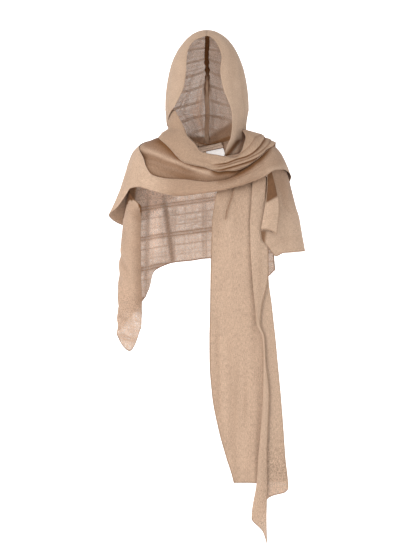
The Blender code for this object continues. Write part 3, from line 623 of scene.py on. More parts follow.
def feed(tree, socket, value):
    """Links an output to a socket, or sets the socket to a number or a colour."""
    if isinstance(value, bpy.types.NodeSocket):
        tree.links.new(value, socket)
    else:
        socket.default_value = value


def node(tree, kind, inputs=(), **settings):
    """New node with its settings, and with its inputs linked or set."""
    made = tree.nodes.new(kind)
    for key, value in settings.items():
        setattr(made, key, value)
    for key, value in dict(inputs).items():
        feed(tree, made.inputs[key], value)
    return made


def math_node(tree, kind, *values):
    return node(tree, "ShaderNodeMath", enumerate(values), operation=kind).outputs[0]


def fade(tree, value, low, high, start=0.0, end=1.0):
    """Smooth change from start at low to end at high."""
    inputs = {"Value": value, "From Min": low, "From Max": high, "To Min": start, "To Max": end}
    return node(tree, "ShaderNodeMapRange", inputs, interpolation_type="SMOOTHSTEP").outputs["Result"]


def between_colours(tree, share, first, second):
    inputs = {"Factor": share, "A": first, "B": second}
    return node(tree, "ShaderNodeMix", inputs, data_type="RGBA").outputs["Result"]


def cloth_place(tree):
    """Place along the cloth, across and down, in metres."""
    uv = node(tree, "ShaderNodeUVMap", uv_map="cloth")
    parts = node(tree, "ShaderNodeSeparateXYZ", {"Vector": uv.outputs["UV"]}).outputs
    return parts["X"], parts["Y"]


def threads(tree, u, v, along_u, along_v, seed):
    """Noise stretched along one thread direction; the numbers are bumps per metre."""
    across, down = math_node(tree, "MULTIPLY", u, along_u), math_node(tree, "MULTIPLY", v, along_v)
    place = node(tree, "ShaderNodeCombineXYZ", {"X": across, "Y": down, "Z": seed}).outputs["Vector"]
    return node(tree, "ShaderNodeTexNoise", {"Vector": place, "Scale": 1.0, "Detail": 2.0}).outputs["Fac"]


def check_lines(tree, x):
    """Double dark line at every step of the check, with thin single ones beside it."""
    at = math_node(tree, "MULTIPLY", x, 1 / CHECK_STEP)
    part = math_node(tree, "SUBTRACT", math_node(tree, "FRACT", at), 0.5)
    away = math_node(tree, "MULTIPLY", part, CHECK_STEP)
    size = math_node(tree, "ABSOLUTE", away)
    from_double = math_node(tree, "ABSOLUTE", math_node(tree, "SUBTRACT", size, 0.0042))
    double = fade(tree, from_double, 0.0008, 0.0030, 1.0, 0.0)
    total = math_node(tree, "MAXIMUM", double, fade(tree, size, 0.004, 0.014, 0.40, 0.0))
    for middle, strength in ((0.031, 0.65), (-0.026, 0.40), (-0.036, 0.30)):
        single = math_node(tree, "ABSOLUTE", math_node(tree, "SUBTRACT", away, middle))
        total = math_node(tree, "MAXIMUM", total, fade(tree, single, 0.0008, 0.0028, strength, 0.0))
    return total


# %% Weave node group
WEAVE_SOCKETS = (
    ("INPUT", "NodeSocketColor", ("Thread", "Shadow")),
    ("INPUT", "NodeSocketFloat", ("Slub", "Check", "Upright", "Open", "Hem", "Tuck", "Lean", "Warp", "Lit")),
    ("OUTPUT", "NodeSocketColor", ("Color",)),
    ("OUTPUT", "NodeSocketFloat", ("Alpha", "Height")),
)


def make_weave():
    tree = bpy.data.node_groups.new("Gauze weave", "ShaderNodeTree")
    for way, kind, names in WEAVE_SOCKETS:
        for name in names:
            tree.interface.new_socket(name, in_out=way, socket_type=kind)
    take = tree.nodes.new("NodeGroupInput").outputs
    give = tree.nodes.new("NodeGroupOutput").inputs

    def calc(kind, *values):
        return math_node(tree, kind, *values)

    def kept(name):
        """Value kept at each point of the cloth."""
        return node(tree, "ShaderNodeAttribute", attribute_name=name).outputs["Fac"]

    # Threads
    u, down = cloth_place(tree)
    v = calc("MULTIPLY_ADD", u, take["Lean"], down)
    warp = calc("MULTIPLY", threads(tree, u, v, 560, 90, 1.0), take["Warp"])
    weft = calc("MULTIPLY", threads(tree, u, v, 90, 560, 5.0), calc("SUBTRACT", 2.0, take["Warp"]))
    coarse = calc("ADD", warp, weft)
    fine = calc("ADD", threads(tree, u, v, 800, 260, 9.0), threads(tree, u, v, 260, 800, 13.0))
    mixed = calc("SUBTRACT", calc("ADD", fine, coarse), 2.0)

    # Colour: the check, the hem and the painted shade, then the threads' own tone
    both = calc("MAXIMUM", calc("MULTIPLY", check_lines(tree, u), take["Upright"]), check_lines(tree, v))
    broken = calc("MULTIPLY", both, fade(tree, coarse, 0.75, 1.15, 0.45, 1.0))
    border = fade(tree, kept("edge"), 0.0020, 0.0046, 1.0, 0.0)
    tuck = kept("tuck")
    deep = calc("MULTIPLY", tuck, take["Tuck"])
    dark = calc("MAXIMUM", calc("MULTIPLY", broken, take["Check"]), calc("MULTIPLY", border, take["Hem"]))
    colour = between_colours(tree, calc("MAXIMUM", dark, deep), take["Thread"], take["Shadow"])
    cloud = calc("MULTIPLY_ADD", threads(tree, u, v, 24, 18, 17.0), 0.16, 0.92)
    tone = calc("ADD", cloud, calc("MULTIPLY", mixed, take["Slub"]))
    # Painted highlight where the painted shading is below 0, and still deeper painted shade above 1
    crest = calc("MAXIMUM", calc("MULTIPLY", deep, -1.0), 0.0)
    crest = calc("MULTIPLY_ADD", crest, take["Lit"], 1.0)
    lit = calc("MULTIPLY", crest, fade(tree, deep, 1.0, 2.0, 1.0, 0.28))
    inputs = {0: colour, "Scale": calc("MULTIPLY", tone, lit)}
    tinted = node(tree, "ShaderNodeVectorMath", inputs, operation="SCALE")
    feed(tree, give["Color"], tinted.outputs["Vector"])

    # Holes between the threads, none where the cloth is packed
    mesh = calc("SUBTRACT", calc("MULTIPLY_ADD", coarse, 0.55, fine), 1.55)
    holes = fade(tree, mesh, -0.26, 0.20, 1.0, 0.0)
    packed = calc("MAXIMUM", calc("MULTIPLY", both, 0.65), border)
    packed = calc("MAXIMUM", packed, calc("MINIMUM", tuck, 1.0))
    share = calc("MULTIPLY", take["Open"], kept("sheer"))
    share = calc("MULTIPLY", share, calc("SUBTRACT", 1.0, packed))
    feed(tree, give["Alpha"], calc("SUBTRACT", 1.0, calc("MULTIPLY", holes, share)))

    # Relief
    soft = calc("MULTIPLY", threads(tree, u, v, 60, 40, 21.0), 0.5)
    feed(tree, give["Height"], calc("MULTIPLY_ADD", mixed, 0.4, soft))
    return tree


weave = make_weave()
print("weave group", len(weave.nodes), "nodes")

# %% [markdown]
# ## Finishes
# One finish for each look of the same cloth, with its light and shade painted into the thread colours: the
# sunlit outside, the greyer inside where light falls through the holes, the single layers that let the most
# light through, and darker packed layers in shade. Cloth has no gloss, so the roughness is high. Light that
# passes through the threads is a Translucent shader mixed in beside it.

# %% Helpers for a finish
def surface(name, look):
    """New material with the given values of its shader, and its node tree and shader."""
    made = bpy.data.materials.new(name)
    made.use_nodes = True
    tree = made.node_tree
    shader = tree.nodes["Principled BSDF"]
    for key, value in look.items():
        shader.inputs[key].default_value = value
    return made, tree, shader


def emboss(tree, shader, height, strength, distance):
    """Gives the surface the relief of a height."""
    inputs = {"Height": height, "Strength": strength, "Distance": distance}
    feed(tree, shader.inputs["Normal"], node(tree, "ShaderNodeBump", inputs).outputs["Normal"])


def blend(tree, share, first, second):
    """Makes the surface a mix of two shaders."""
    inputs = {"Fac": share, 1: first.outputs["BSDF"], 2: second.outputs["BSDF"]}
    mix = node(tree, "ShaderNodeMixShader", inputs)
    feed(tree, tree.nodes["Material Output"].inputs["Surface"], mix.outputs["Shader"])


# %% Cloth finishes
# The first colour is the cloth's own; the second is darker, painted as the shade of packed layers; the third
# is the colour of painted shade
THREAD = (0.52, 0.368, 0.266)
PACKED_AND_SHADED = (0.358, 0.243, 0.168)
PAINTED_FOLD_SHADE = (0.16, 0.072, 0.030)
# Values of the weave for plain cloth
PLAIN = {"slub": 0.50, "check": 0.11, "upright": 0.7, "open": 0.5, "hem": 0.35, "tuck": 0.8, "lean": 0.0,
         "warp": 1.0, "lit": 0.45}


def finish(name, thread, shadow=PAINTED_FOLD_SHADE, relief=0.5, glow=0.12, **weave_values):
    """Finish of the cloth; weave_values are those that differ from plain cloth."""
    made, tree, shader = surface(name, {"Roughness": 0.92, "Specular IOR Level": 0.12, "Sheen Weight": 0.10})
    inputs = {key.title(): value for key, value in {**PLAIN, **weave_values}.items()}
    inputs.update(Thread=(*thread, 1), Shadow=(*shadow, 1))
    woven = node(tree, "ShaderNodeGroup", inputs, node_tree=weave).outputs
    emboss(tree, shader, woven["Height"], relief, 0.0015)
    feed(tree, shader.inputs["Base Color"], woven["Color"])
    feed(tree, shader.inputs["Alpha"], woven["Alpha"])
    blend(tree, glow, shader, node(tree, "ShaderNodeBsdfTranslucent", {"Color": woven["Color"]}))
    return made


# Painted light and shade in the thread colours: the wrap's bundle, the cowl and the hood's outside are darker
# as shade; the hood's inside, the panel and the roll are lighter, painted as light that falls through or on
# them
gauze = finish("gauze", THREAD, tuck=0.95)
gauze_bundle = finish("gauze_bundle", PACKED_AND_SHADED, check=0.06, tuck=1.0, glow=0.04)
gauze_drape = finish("gauze_drape", THREAD, open=1.6, tuck=1.0)
hood_out = finish("gauze_hood", (0.462, 0.332, 0.242), check=0.05, open=0.72, hem=0.0, relief=0.35, lean=0.34)
hood_in = finish("gauze_hood_inside", (0.62, 0.47, 0.37), (0.28, 0.145, 0.07), slub=0.7, check=0.50,
                 upright=0.35, open=0.85, lean=0.34, hem=0.0, tuck=0.95, relief=0.35, glow=0.25)
panel_in = finish("gauze_panel_inside", (0.65, 0.52, 0.43), (0.30, 0.165, 0.09), slub=0.6, check=0.72,
                  upright=0.38, open=1.9, lean=0.14, hem=0.9, tuck=0.9, relief=0.4, glow=0.35)
panel_out = finish("gauze_panel", (0.57, 0.405, 0.295), check=0.10, open=2.0, lean=0.14, hem=0.5, glow=0.30,
                   lit=0.0)
gauze_roll = finish("gauze_roll", (0.68, 0.53, 0.42), check=0.0, tuck=1.0, glow=0.05)
gauze_cowl = finish("gauze_cowl", (0.485, 0.342, 0.247), check=0.06, tuck=1.0, glow=0.05)
tail_cloth = finish("gauze_tail", (0.53, 0.378, 0.275), slub=0.60, check=0.03, open=1.0, warp=1.35, hem=0.4,
                    glow=0.2)
print("finishes", [m.name for m in bpy.data.materials if m.name.startswith("gauze")])

# %% [markdown]
# ## The hood
# The hood is two halves sewn together over the crown and down the back. Each half is a shell about the
# head, cut away at the face. The inside shows most of its weave: the light comes through it from behind,
# and the check runs down and away from the seam on both sides.

# %% Hood halves
HOOD_WEAVE = 1.9         # how much closer the weave and its check stand on the hood


def make_hood_cloth(name, side, seed):
    low_rows = 20
    points = hood_half(side, across=64, over=46, below=low_rows)
    u, v = arcs(points)
    middle = u[:, u.shape[1] // 2][:, None]
    from_seam = np.repeat(middle[-1:] - middle, points.shape[1], 1)
    up = v - v[:, low_rows][:, None]
    free = rise(0.0, 0.02, from_seam) * rise(0.0, 0.07, v[:, -1:] - v)
    long_folds = crumple(from_seam, up, 0.022, 0.20, seed) * 0.0022
    small = crumple(from_seam, up, 0.05, 0.04, seed + 9) * 0.0007
    gathers = np.cos(from_seam * 2 * np.pi / 0.036 + 5 * up) * 0.0014 * rise(0.02, -0.05, up)
    seam_pull = -0.0012 * np.cos(up * 2 * np.pi / 0.017) * np.exp(-from_seam / 0.010) * bump(0.075, 0.025, up)
    out = grid_normals(points)
    out *= np.sign(((points - [0, SETBACK, -EAR_DROP]) * out).sum(-1).mean())
    lift = (long_folds + small + gathers * 0.6) * free + seam_pull
    moved = points + out * lift[..., None]
    moved[..., 0] = side * np.maximum(side * moved[..., 0], 0.00005)
    x, y, z = (moved[..., k] for k in range(3))
    behind = rise(0.03, 0.06, y)
    # Painted shade in a crescent at the nape, and at the right in the rim's inner turn under the wrap, with
    # painted light on the rim beyond it
    crescent_shade = rise(-0.268, -0.290, z - np.abs(x) * (0.62 if side > 0 else 0.10)) * behind
    if side > 0:
        beyond = x - (0.063 + (z + 0.3327) * 0.76)
        before = rise(0.02, 0.0, y)
        crescent_shade = np.maximum(crescent_shade, bump(0, 0.0085, beyond) * rise(-0.292, -0.305, z) * before * 1.7)
        rim = rise(0.006, 0.014, beyond) * rise(-0.268, -0.290, z) * before
    # Painted shadows along the seam and under the last fold above the roll
    pucker_shade = bump(0.012, 0.006, from_seam) * bump(-0.131, 0.024, z) * behind
    swag_shade = bump(0.0, 0.010, from_seam - 0.045 - 0.10 * (z + 0.22)) * rise(-0.20, -0.235, z)
    tuck = np.maximum(np.maximum(crescent_shade * 0.78, pucker_shade * 0.8), swag_shade * 0.20 * behind)
    tuck = np.maximum(tuck, 0.12 * np.exp(-from_seam / 0.010) * rise(-0.13, -0.16, z) * behind)
    # Painted shadow line along the hem at the nape, just above the roll, and painted shade in the hollows of
    # the folds in front
    low_line = -0.3050 + np.abs(x) * (0.36 if side > 0 else 0.23)
    reach = rise(-0.045, -0.020, x) * rise(0.075, 0.060, x)
    tuck = np.maximum(tuck, 1.4 * bump(low_line, 0.0080, z) * reach * behind)
    tuck = tuck + painted_valley_shade(long_folds, 0.14) * (1 - behind)
    sheer = rise(-0.01, 0.05, y) * rise(-0.305, -0.275, z)
    low_light = 1 - 0.04 * rise(-0.22, -0.28, z)
    # At the right, painted light on the rim beyond its inner turn; at the left, a lighter, less open patch
    # beside the seam
    if side > 0:
        tuck = tuck - 1.1 * rim
    else:
        warm = bump(0.024, 0.012, from_seam) * bump(-0.205, 0.075, z) * behind
        tuck = tuck - 0.75 * warm * rise(0.5, 0.1, tuck)
        sheer = sheer * (1 - 0.35 * warm)
    sheer = sheer * low_light * (0.74 if side > 0 else 1.0)
    uv = ((from_seam + 0.5) * HOOD_WEAVE, (up - 0.0144) * HOOD_WEAVE)
    piece = cloth(name, moved, hood_out, hood_in, uv, tuck, sheer, hems="")
    declare("hood_left" if side < 0 else "hood_right")


make_hood_cloth("hood_cloth_left", -1, 11)
make_hood_cloth("hood_cloth_right", 1, 23)

# %% [markdown]
# ## The seam inside the hood
# The two halves are joined by a flat seam, where four layers of cloth lie on each other and no light comes
# through. It is a narrow ribbon just inside the shell. It is darkest at the crown and pulls into small
# gathers at the back of the head.

# %% Seam finish and ribbon
def seam_finish():
    made, tree, shader = surface("seam_fold", {"Roughness": 0.95, "Specular IOR Level": 0.1})
    place = tree.nodes.new("ShaderNodeTexCoord").outputs["Object"]
    parts = node(tree, "ShaderNodeSeparateXYZ", {"Vector": place}).outputs
    ripple = threads(tree, parts["X"], parts["Z"], 400, 160, 3.0)
    level = math_node(tree, "MULTIPLY_ADD", ripple, 0.03, parts["Z"])
    # Painted light and shade: the tape is darkest at the crown, where no light comes through, lighter below,
    # darker again toward the nape, and darker at its sides where it gathers
    light = fade(tree, level, -0.070, -0.125)
    light = math_node(tree, "MULTIPLY", light, fade(tree, level, -0.240, -0.292, 1.0, 0.30))
    middle = fade(tree, math_node(tree, "ABSOLUTE", parts["X"]), 0.0030, 0.0046, 1.0, 0.15)
    whole = math_node(tree, "MAXIMUM", middle, fade(tree, level, -0.128, -0.165))
    light = math_node(tree, "MULTIPLY", light, whole)
    colour = between_colours(tree, light, (0.115, 0.050, 0.018, 1), (0.56, 0.40, 0.29, 1))
    feed(tree, shader.inputs["Base Color"], colour)
    emboss(tree, shader, ripple, 0.7, 0.002)
    return made


def make_seam_ribbon():
    grid = hood_half(-1, across=60, over=50, below=20)
    path = np.concatenate([grid[:, -1], grid[-1, -2::-1]])
    path[:, 0] = 0
    direction = np.gradient(path, axis=0)
    inward = np.stack([np.zeros(len(path)), direction[:, 2], -direction[:, 1]], -1)
    inward /= np.linalg.norm(inward, axis=-1, keepdims=True)
    inward *= np.sign((([0, SETBACK, -EAR_DROP] - path) * inward).sum(-1, keepdims=True))
    path, inward = path[:-1], inward[:-1]
    length = np.concatenate([[0], np.cumsum(np.linalg.norm(np.diff(path, axis=0), axis=-1))])
    pulled = bump(0.23, 0.035, length)
    wave = np.cos(length * 2 * np.pi / 0.016) * 0.0010 * pulled
    drift = 0.0012 * np.sin(length * 2 * np.pi / 0.11)
    half = SEAM_TAPE_WIDTH / 2 * (1 + 0.25 * pulled * np.cos(length * 2 * np.pi / 0.021))
    base = path + inward * (0.0022 + wave[:, None])
    columns = []
    for across in np.linspace(-1, 1, 7):
        rounded = 0.0010 * (1 - across ** 2)
        side = np.stack([across * half + drift, np.zeros_like(half), np.zeros_like(half)], -1)
        columns.append(base + side + inward * rounded)
    points = np.stack(columns, 0)
    tape = seam_finish()
    piece = cloth("seam_ribbon", points, tape, tape, arcs(points), thick=0.0010, hems="")
    declare("hood_seam")


make_seam_ribbon()

# %% [markdown]
# ## The roll and the label at the nape
# Behind the neck the top of the scarf is folded over into a soft roll, with a small blank label below it.
# The label is a woven ribbon, so it is smooth and white with fine ribs and folded ends.

# %% Neck roll
NAPE_LIFT = DRAPE_TOP[0][2] * LAYER - CLOTH / 2 - ROLL_AIR - ROLL_THICK / 2


def make_roll_cloth():
    turn, share = np.meshgrid(np.linspace(150, 200, 60), np.linspace(0, 1, 22), indexing="ij")
    drop = NECK_TOP + ROLL_HEIGHT * share - ROLL_TILT * (180 - turn)
    belly = -0.0026 * half_round(share)
    creases = crumple((turn - 150) * 0.0016, share * 0.02, 0.02, 0.006, 71) * 0.0006
    points = on_form(turn, drop, NAPE_LIFT + 0.0006 + belly + creases)
    wavy = share + 0.1 * noise((turn - 150) / 12, share, 4)
    # Painted shade under the roll's lower edge and along a wavy crease across it
    tuck = 1.6 * rise(0.80, 0.96, share) + 0.5 * bump(0.42, 0.05, wavy)
    uv = arcs(points)
    piece = cloth("neck_roll_cloth", points, gauze_roll, gauze_roll, uv, tuck, thick=0.0012, hems="")
    declare("neck_roll")


make_roll_cloth()

# %% Neck label
def label_finish():
    # The label glows a little: painted light that keeps it white in the shade at the nape
    made, tree, shader = surface("label_ribbon", {
        "Roughness": 0.55, "Sheen Weight": 0.2, "Emission Color": (1, 1, 1, 1), "Emission Strength": 0.22})
    ribs = threads(tree, *cloth_place(tree), 300, 2200, 2.0)
    colour = between_colours(tree, ribs, (0.93, 0.92, 0.91, 1), (1.0, 1.0, 1.0, 1))
    feed(tree, shader.inputs["Base Color"], colour)
    emboss(tree, shader, ribs, 0.3, 0.0006)
    return made


def make_label_ribbon():
    arc = np.degrees(LABEL_WIDTH / (CHEST_HALF * 0.85))
    end = 181.5
    turns, drops = np.linspace(end - 0.93 * arc, end, 40), np.linspace(0, LABEL_HEIGHT, 20)
    turn, down = np.meshgrid(turns, drops, indexing="ij")
    drop = down + NECK_TOP + ROLL_HEIGHT + AIR - ROLL_TILT * (180 - turn)
    curl = -0.0012 * rise(0.7, 1.0, down / LABEL_HEIGHT) + 0.0004 * np.sin(turn / 3.1)
    points = on_form(turn, drop, NAPE_LIFT + curl)
    ribbon = label_finish()
    piece = cloth("label_ribbon", points, ribbon, ribbon, arcs(points), thick=0.0009, hems="")
    declare("neck_label")


make_label_ribbon()

# %% [markdown]
# ## The neck wrap
# The wrap is the part of the cloth that crosses under the chin. At the left it lies as one smooth band, and
# toward the right shoulder it is pulled together into pleats. Each pleat is a drawn line with a lip above
# it and a tuck below it.

# %% Wrap pleats
# Each pleat: height, width, then turn and drop along its line
WRAP_PLEATS = (
    (0.003, 0.007, ((1, 0.374), (15, 0.372), (27.3, 0.369), (41.4, 0.358), (50.2, 0.352), (55.6, 0.344),
     (61.7, 0.331), (67.9, 0.318), (78, 0.305), (100, 0.3))),
    (0.0022, 0.004, ((0, 0.38), (15, 0.379), (28, 0.375), (42, 0.365), (52, 0.357), (60, 0.345), (68, 0.33),
     (80, 0.313), (105, 0.308))),
    (0.0034, 0.008, ((2, 0.386), (18, 0.386), (32, 0.38), (45, 0.371), (55, 0.361), (64, 0.346),
     (72, 0.332), (84, 0.321), (110, 0.318))),
    (0.002, 0.005, ((22, 0.396), (36, 0.388), (50, 0.376), (60, 0.36), (70, 0.343), (84, 0.329),
     (110, 0.326))),
    (0.0012, 0.006, ((26, 0.358), (36, 0.352), (46, 0.342), (54, 0.328), (64, 0.308), (90, 0.298))),
)


HIGHEST_PLEAT = 0.0034


def make_wrap_cloth():
    spans, down = 220, 40
    grid = between((read_line(WRAP_TOP, spans), read_line(WRAP_LOW, spans)), np.linspace(0, 1, down + 1))
    turn, drop, lift = rows_of(grid)
    share = np.linspace(0, 1, down + 1)[None]
    drop = drop - 0.012 * rise(53, 62, turn) * rise(94, 72, turn) * (1 - share) ** 2
    drop = drop - lip_rise(turn) * share ** 3
    # Each pleat lifts the cloth along its line, with painted shadow below it and a painted highlight on its
    # crest
    tuck, lit = np.zeros(turn.shape), np.zeros(turn.shape)
    for height, width, path in WRAP_PLEATS:
        raised, shade, crest = pleat(turn, drop, path, height, width)
        start = rise(path[0][0] - 2, path[0][0] + 26, turn)
        lift = lift + raised * start
        tuck = np.maximum(tuck, 1.55 * shade * start * height / HIGHEST_PLEAT)
        lit = np.maximum(lit, crest * start * height / HIGHEST_PLEAT)
    tuck = tuck - 0.55 * lit * rise(0.9, 0.1, tuck)
    roll = 0.0045 * half_round(share) * rise(-10, 20, turn) * rise(100, 66, turn)
    roll = (roll + 0.0070 * half_round(share ** 1.6) * rise(20, -20, turn)) * rise(-92, -60, turn)
    long_folds = crumple(share * 0.07, turn * 0.0022, 0.022, 0.12, 31) * 0.0016
    small = crumple(turn * 0.0022, share * 0.07, 0.03, 0.02, 37) * 0.0007
    turned_in = rise(0.90, 1.0, share) * rise(-95, -70, turn) + rise(0.06, 0.0, share) * rise(-50, -30, turn)
    inside = rise(-86, -70, turn) * rise(124, 110, turn)
    ends = rise(0, 0.08, share) * rise(1, 0.94, share)
    at_hood = 0.0068 * bump(-84, 20, turn) * bump(0.598, 0.042, drop / CHEST_DROP)
    lift = lift + roll * ends + (long_folds + small) * inside * ends - 0.0035 * turned_in + at_hood
    points = on_form(turn, drop, lift)
    u, v = straight_uv(points, down // 2)
    tuck = tuck + painted_valley_shade(long_folds, 0.15)
    piece = cloth("neck_wrap_cloth", points, gauze_bundle, gauze_bundle, (u + 0.02 * share, v), tuck, hems="")
    declare("neck_wrap")


make_wrap_cloth()

# %% [markdown]
# ## The cowl
# Below the wrap the cloth sags over the chest in two soft ridges with a hollow between them. Its shade is
# painted brown, deepest in the hollow and under the wrap's edge, and its ridge's crest is painted lighter.

# %% Cowl
COWL_RIDGE = (
    (-82, 0.318), (-78.2, 0.326), (-64.5, 0.339), (-53.9, 0.352), (-42.1, 0.365), (-26, 0.38), (-10, 0.389),
    (6, 0.394), (20, 0.397),
)


def make_cowl_cloth():
    spans, down = 120, 44
    grid = between([read_line(line, spans) for line in COWL_LINES], np.linspace(0, 1, down + 1))
    turn, drop, lift = rows_of(grid)
    share = np.linspace(0, 1, down + 1)[None]
    folds = crumple(share * 0.10, turn * 0.0024, 0.018, 0.10, 41) * 0.0009
    small = crumple(turn * 0.0024, share * 0.10, 0.03, 0.02, 43) * 0.0005
    below = drop - along(COWL_RIDGE, turn)[0]
    crest = bump(0, 0.0065, below) * rise(-90, -80, turn) * rise(24, 5, turn)
    dip = bump(0.014, 0.008, below)
    lift = lift + 0.0032 * crest - 0.0018 * dip * rise(-80, -60, turn)
    points = on_form(turn, drop, lift + (folds + small) * rise(0, 0.1, share) * rise(1, 0.9, share))
    # Painted shade over the whole cowl, deepest under the wrap's edge, above the band's top and in the dip;
    # painted light on the ridge's crest
    above_band = edge_drop(DRAPE_TOP, turn) - drop
    pocket_shadow = under_edge(drop - edge_drop(WRAP_LOW, turn) + lip_rise(turn), 0.020)
    shaded_hollow = 0.54 - 0.16 * rise(-34, 4, turn) + 0.48 * pocket_shadow * (1 - crest)
    shaded_hollow = np.clip(shaded_hollow + 0.25 * under_edge(above_band, 0.010) - 0.34 * crest, 0, 1)
    shaded_hollow = shaded_hollow + painted_valley_shade(folds, 0.12)
    shaded_hollow = np.maximum(shaded_hollow, 1.25 * pocket_shadow * rise(-4, 14, turn))
    shaded_hollow = np.maximum(shaded_hollow, 0.62 * dip * rise(-74, -50, turn))
    uv = straight_uv(points, down // 2)
    piece = cloth("cowl_cloth", points, gauze_cowl, gauze_cowl, uv, shaded_hollow, hems="")
    declare("cowl")


make_cowl_cloth()

# %% [markdown]
# ## The drape over the shoulders
# One wide band goes all round: across the chest, over both upper arms and down the back. Its lower edge is
# folded under on the chest and hemmed at the left arm.

# %% Shoulder drape
CHEST_CREASES = (
    (0.0012, 0.005, ((-30, 0.428), (-12, 0.431), (6, 0.432), (24, 0.426))),
    (0.001, 0.0045, ((-46, 0.44), (-30, 0.444), (-16, 0.441), (-4, 0.436))),
    (0.0012, 0.006, ((20, 0.418), (38, 0.41), (54, 0.392), (66, 0.366))),
)


def make_drape_cloth():
    spans, down = 300, 60
    top, low = read_line(DRAPE_TOP, spans), read_line(DRAPE_LOW, spans)
    places = smooth(np.arange(len(DRAPE_ROWS)), DRAPE_ROWS, np.linspace(0, len(DRAPE_ROWS) - 1, down + 1))
    grid = between((top, low), places)
    grid[..., 2] = top[:, 2:] + (low[:, 2:] - top[:, 2:]) * places[None] ** DRAPE_FLARE
    turn, drop, lift = rows_of(grid)
    share = places[None]
    tuck = np.zeros(turn.shape)
    # Each crease lifts the cloth, with painted shade below it
    for height, width, path in CHEST_CREASES:
        raised, shade, _ = pleat(turn, drop, path, height, width)
        lift = lift + raised
        tuck = np.maximum(tuck, shade * 0.5)
    round_turn = turn * np.pi / 180
    band = rise(-72, -60, turn) * rise(66, 50, turn)
    lip = band * (0.0030 * half_round(share) - 0.0030 * rise(0.90, 1.0, share))
    wide = noise(round_turn * 32 / np.pi, drop / 0.10, 51) * 0.0022 * (1 - band)
    small = crumple(round_turn * 32 / np.pi * 0.03, drop, 0.03, 0.035, 53) * 0.0008
    lift = lift + lip + (np.clip(wide, -0.0006, None) + small) * rise(0, 0.12, share)
    points = on_form(turn, drop, lift)
    points[-1] = points[0]
    # Painted shade: a shadow wedge under the wrap's edge, shade across the front of the band and on the right
    # shoulder, and in the hollows of the folds
    below_wrap = drop - edge_drop(WRAP_LOW, np.clip(turn, -104, 127)) + lip_rise(turn)
    wedge_shadow = 2.0 * under_edge(below_wrap, 0.013 + 0.012 * rise(60, 20, turn))
    tuck = np.maximum(tuck, wedge_shadow * rise(-4, 20, turn) * rise(80, 64, turn))
    front_shade = rise(-66, -40, turn) * rise(74, 50, turn)
    tuck = np.maximum(tuck, 0.40 * front_shade + 0.20 * front_shade * rise(0.72, 1.0, share))
    tuck = np.maximum(tuck, 0.34 * rise(44, 62, turn) * rise(120, 90, turn) * rise(1.0, 0.6, share))
    sheer = np.maximum(rise(106, 118, -turn), rise(99, 114, turn)) * rise(0.34, 0.42, drop)
    tuck = tuck + painted_valley_shade(wide + small, 0.10) * (1 - sheer)
    uv = straight_uv(points, down // 2)
    piece = cloth("shoulder_drape_cloth", points, gauze_drape, gauze_drape, uv, tuck, sheer, closed=True,
                  hems="s")
    declare("shoulder_drape")


make_drape_cloth()

# %% [markdown]
# ## The back panel and its flap
# Behind the body a single layer hangs down. At the left its end comes forward round the arm as a flap with
# a long point. The light passes through this single layer, so its check stands out, and the shade in its
# folds is painted brown.

# %% Back panel and flap
def make_shawl_cloth():
    spans, down = 250, 104
    top, hem = read_line(SHAWL_TOP, spans), read_line(SHAWL_HEM, spans)
    hem[:, 1] *= FLAP_DROP / CHEST_DROP
    grid = between((top, hem), np.linspace(0, 1, down + 1))
    sweep = column(FLAP_SWEEP, 1, grid[..., 1])
    across = np.linspace(0, 1, spans + 1)[:, None]
    reach = np.clip(1 - across / 0.22, 0, 1) ** 1.5
    grid[..., 0] = (hem[:, 0:1] + sweep) * reach + grid[..., 0] * (1 - reach)
    turn, drop, lift = rows_of(grid)
    hang = rise(0.40, 0.50, drop)
    around = -turn * 0.0026
    back = rise(0.270, 0.285, around)
    fold_line = 0.332 + 0.12 * (drop - 0.443)
    vertical = (0.0060 * bump(fold_line - 0.009, 0.007, around) - 0.0050 * bump(fold_line, 0.005, around)
                - 0.0040 * bump(0.299, 0.004, around) + 0.0018 * np.cos(around * 2 * np.pi / 0.052))
    vertical = vertical * back * hang
    slant = crumple(around + 0.7 * drop, around - 0.7 * drop, 0.020, 0.11, 61) * 0.0046
    flap = rise(0.30, 0.18, across) * rise(0.50, 0.62, drop)
    crinkle = crumple(around, drop, 0.014, 0.010, 63) * 0.0026 * bump(0.290, 0.016, around) * hang
    small = crumple(around, drop, 0.03, 0.04, 67) * 0.0008
    curl = -0.011 * rise(0.055, 0.0, across) * rise(0.44, 0.50, drop) * rise(0.83, 0.76, drop)
    points = on_form(turn, drop, lift + vertical + slant * flap + crinkle + small * hang + curl)
    # Painted shade in the panel's folds, along the flap's rolled front edge, in the arm's opening above the
    # flap and in the hollows of the flap's creases; painted light on a pale strip of the panel and toward its
    # top
    tuck = (0.62 * bump(fold_line, 0.0062, around) + 0.34 * bump(0.299, 0.0036, around)) * back * hang
    tuck = np.maximum(tuck, 0.60 * rise(0.050, 0.0, across) * rise(0.46, 0.50, drop) * rise(0.80, 0.74, drop))
    dome = 0.4640 + 0.012 * np.clip(np.abs(points[..., 0] + 0.2030) / 0.016, 0, 1.6) ** 3
    tuck = np.maximum(tuck, 1.45 * rise(0.0015, -0.0015, drop - dome) * rise(0.30, 0.25, across))
    tuck = tuck + painted_valley_shade(slant, 0.20) * rise(0.30, 0.18, across)
    pale = bump(0.316, 0.012, around) * rise(0.66, 0.58, drop)
    tuck = tuck - (0.95 * pale + 0.55 * rise(0.500, 0.455, drop)) * back * rise(0.5, 0.1, tuck)
    sheer = np.maximum(back * (0.38 + 0.04 * pale), 0.56 * rise(0.68, 0.80, drop) * (1 - back))
    # Its check lies level, at drops that are shifted to where its lines are
    uv = (straight_uv(points, down // 3)[0], drop + 0.046)
    piece = cloth("back_shawl_cloth", points, panel_out, panel_in, uv, tuck, sheer, hems="nesw")
    declare("back_shawl")


make_shawl_cloth()

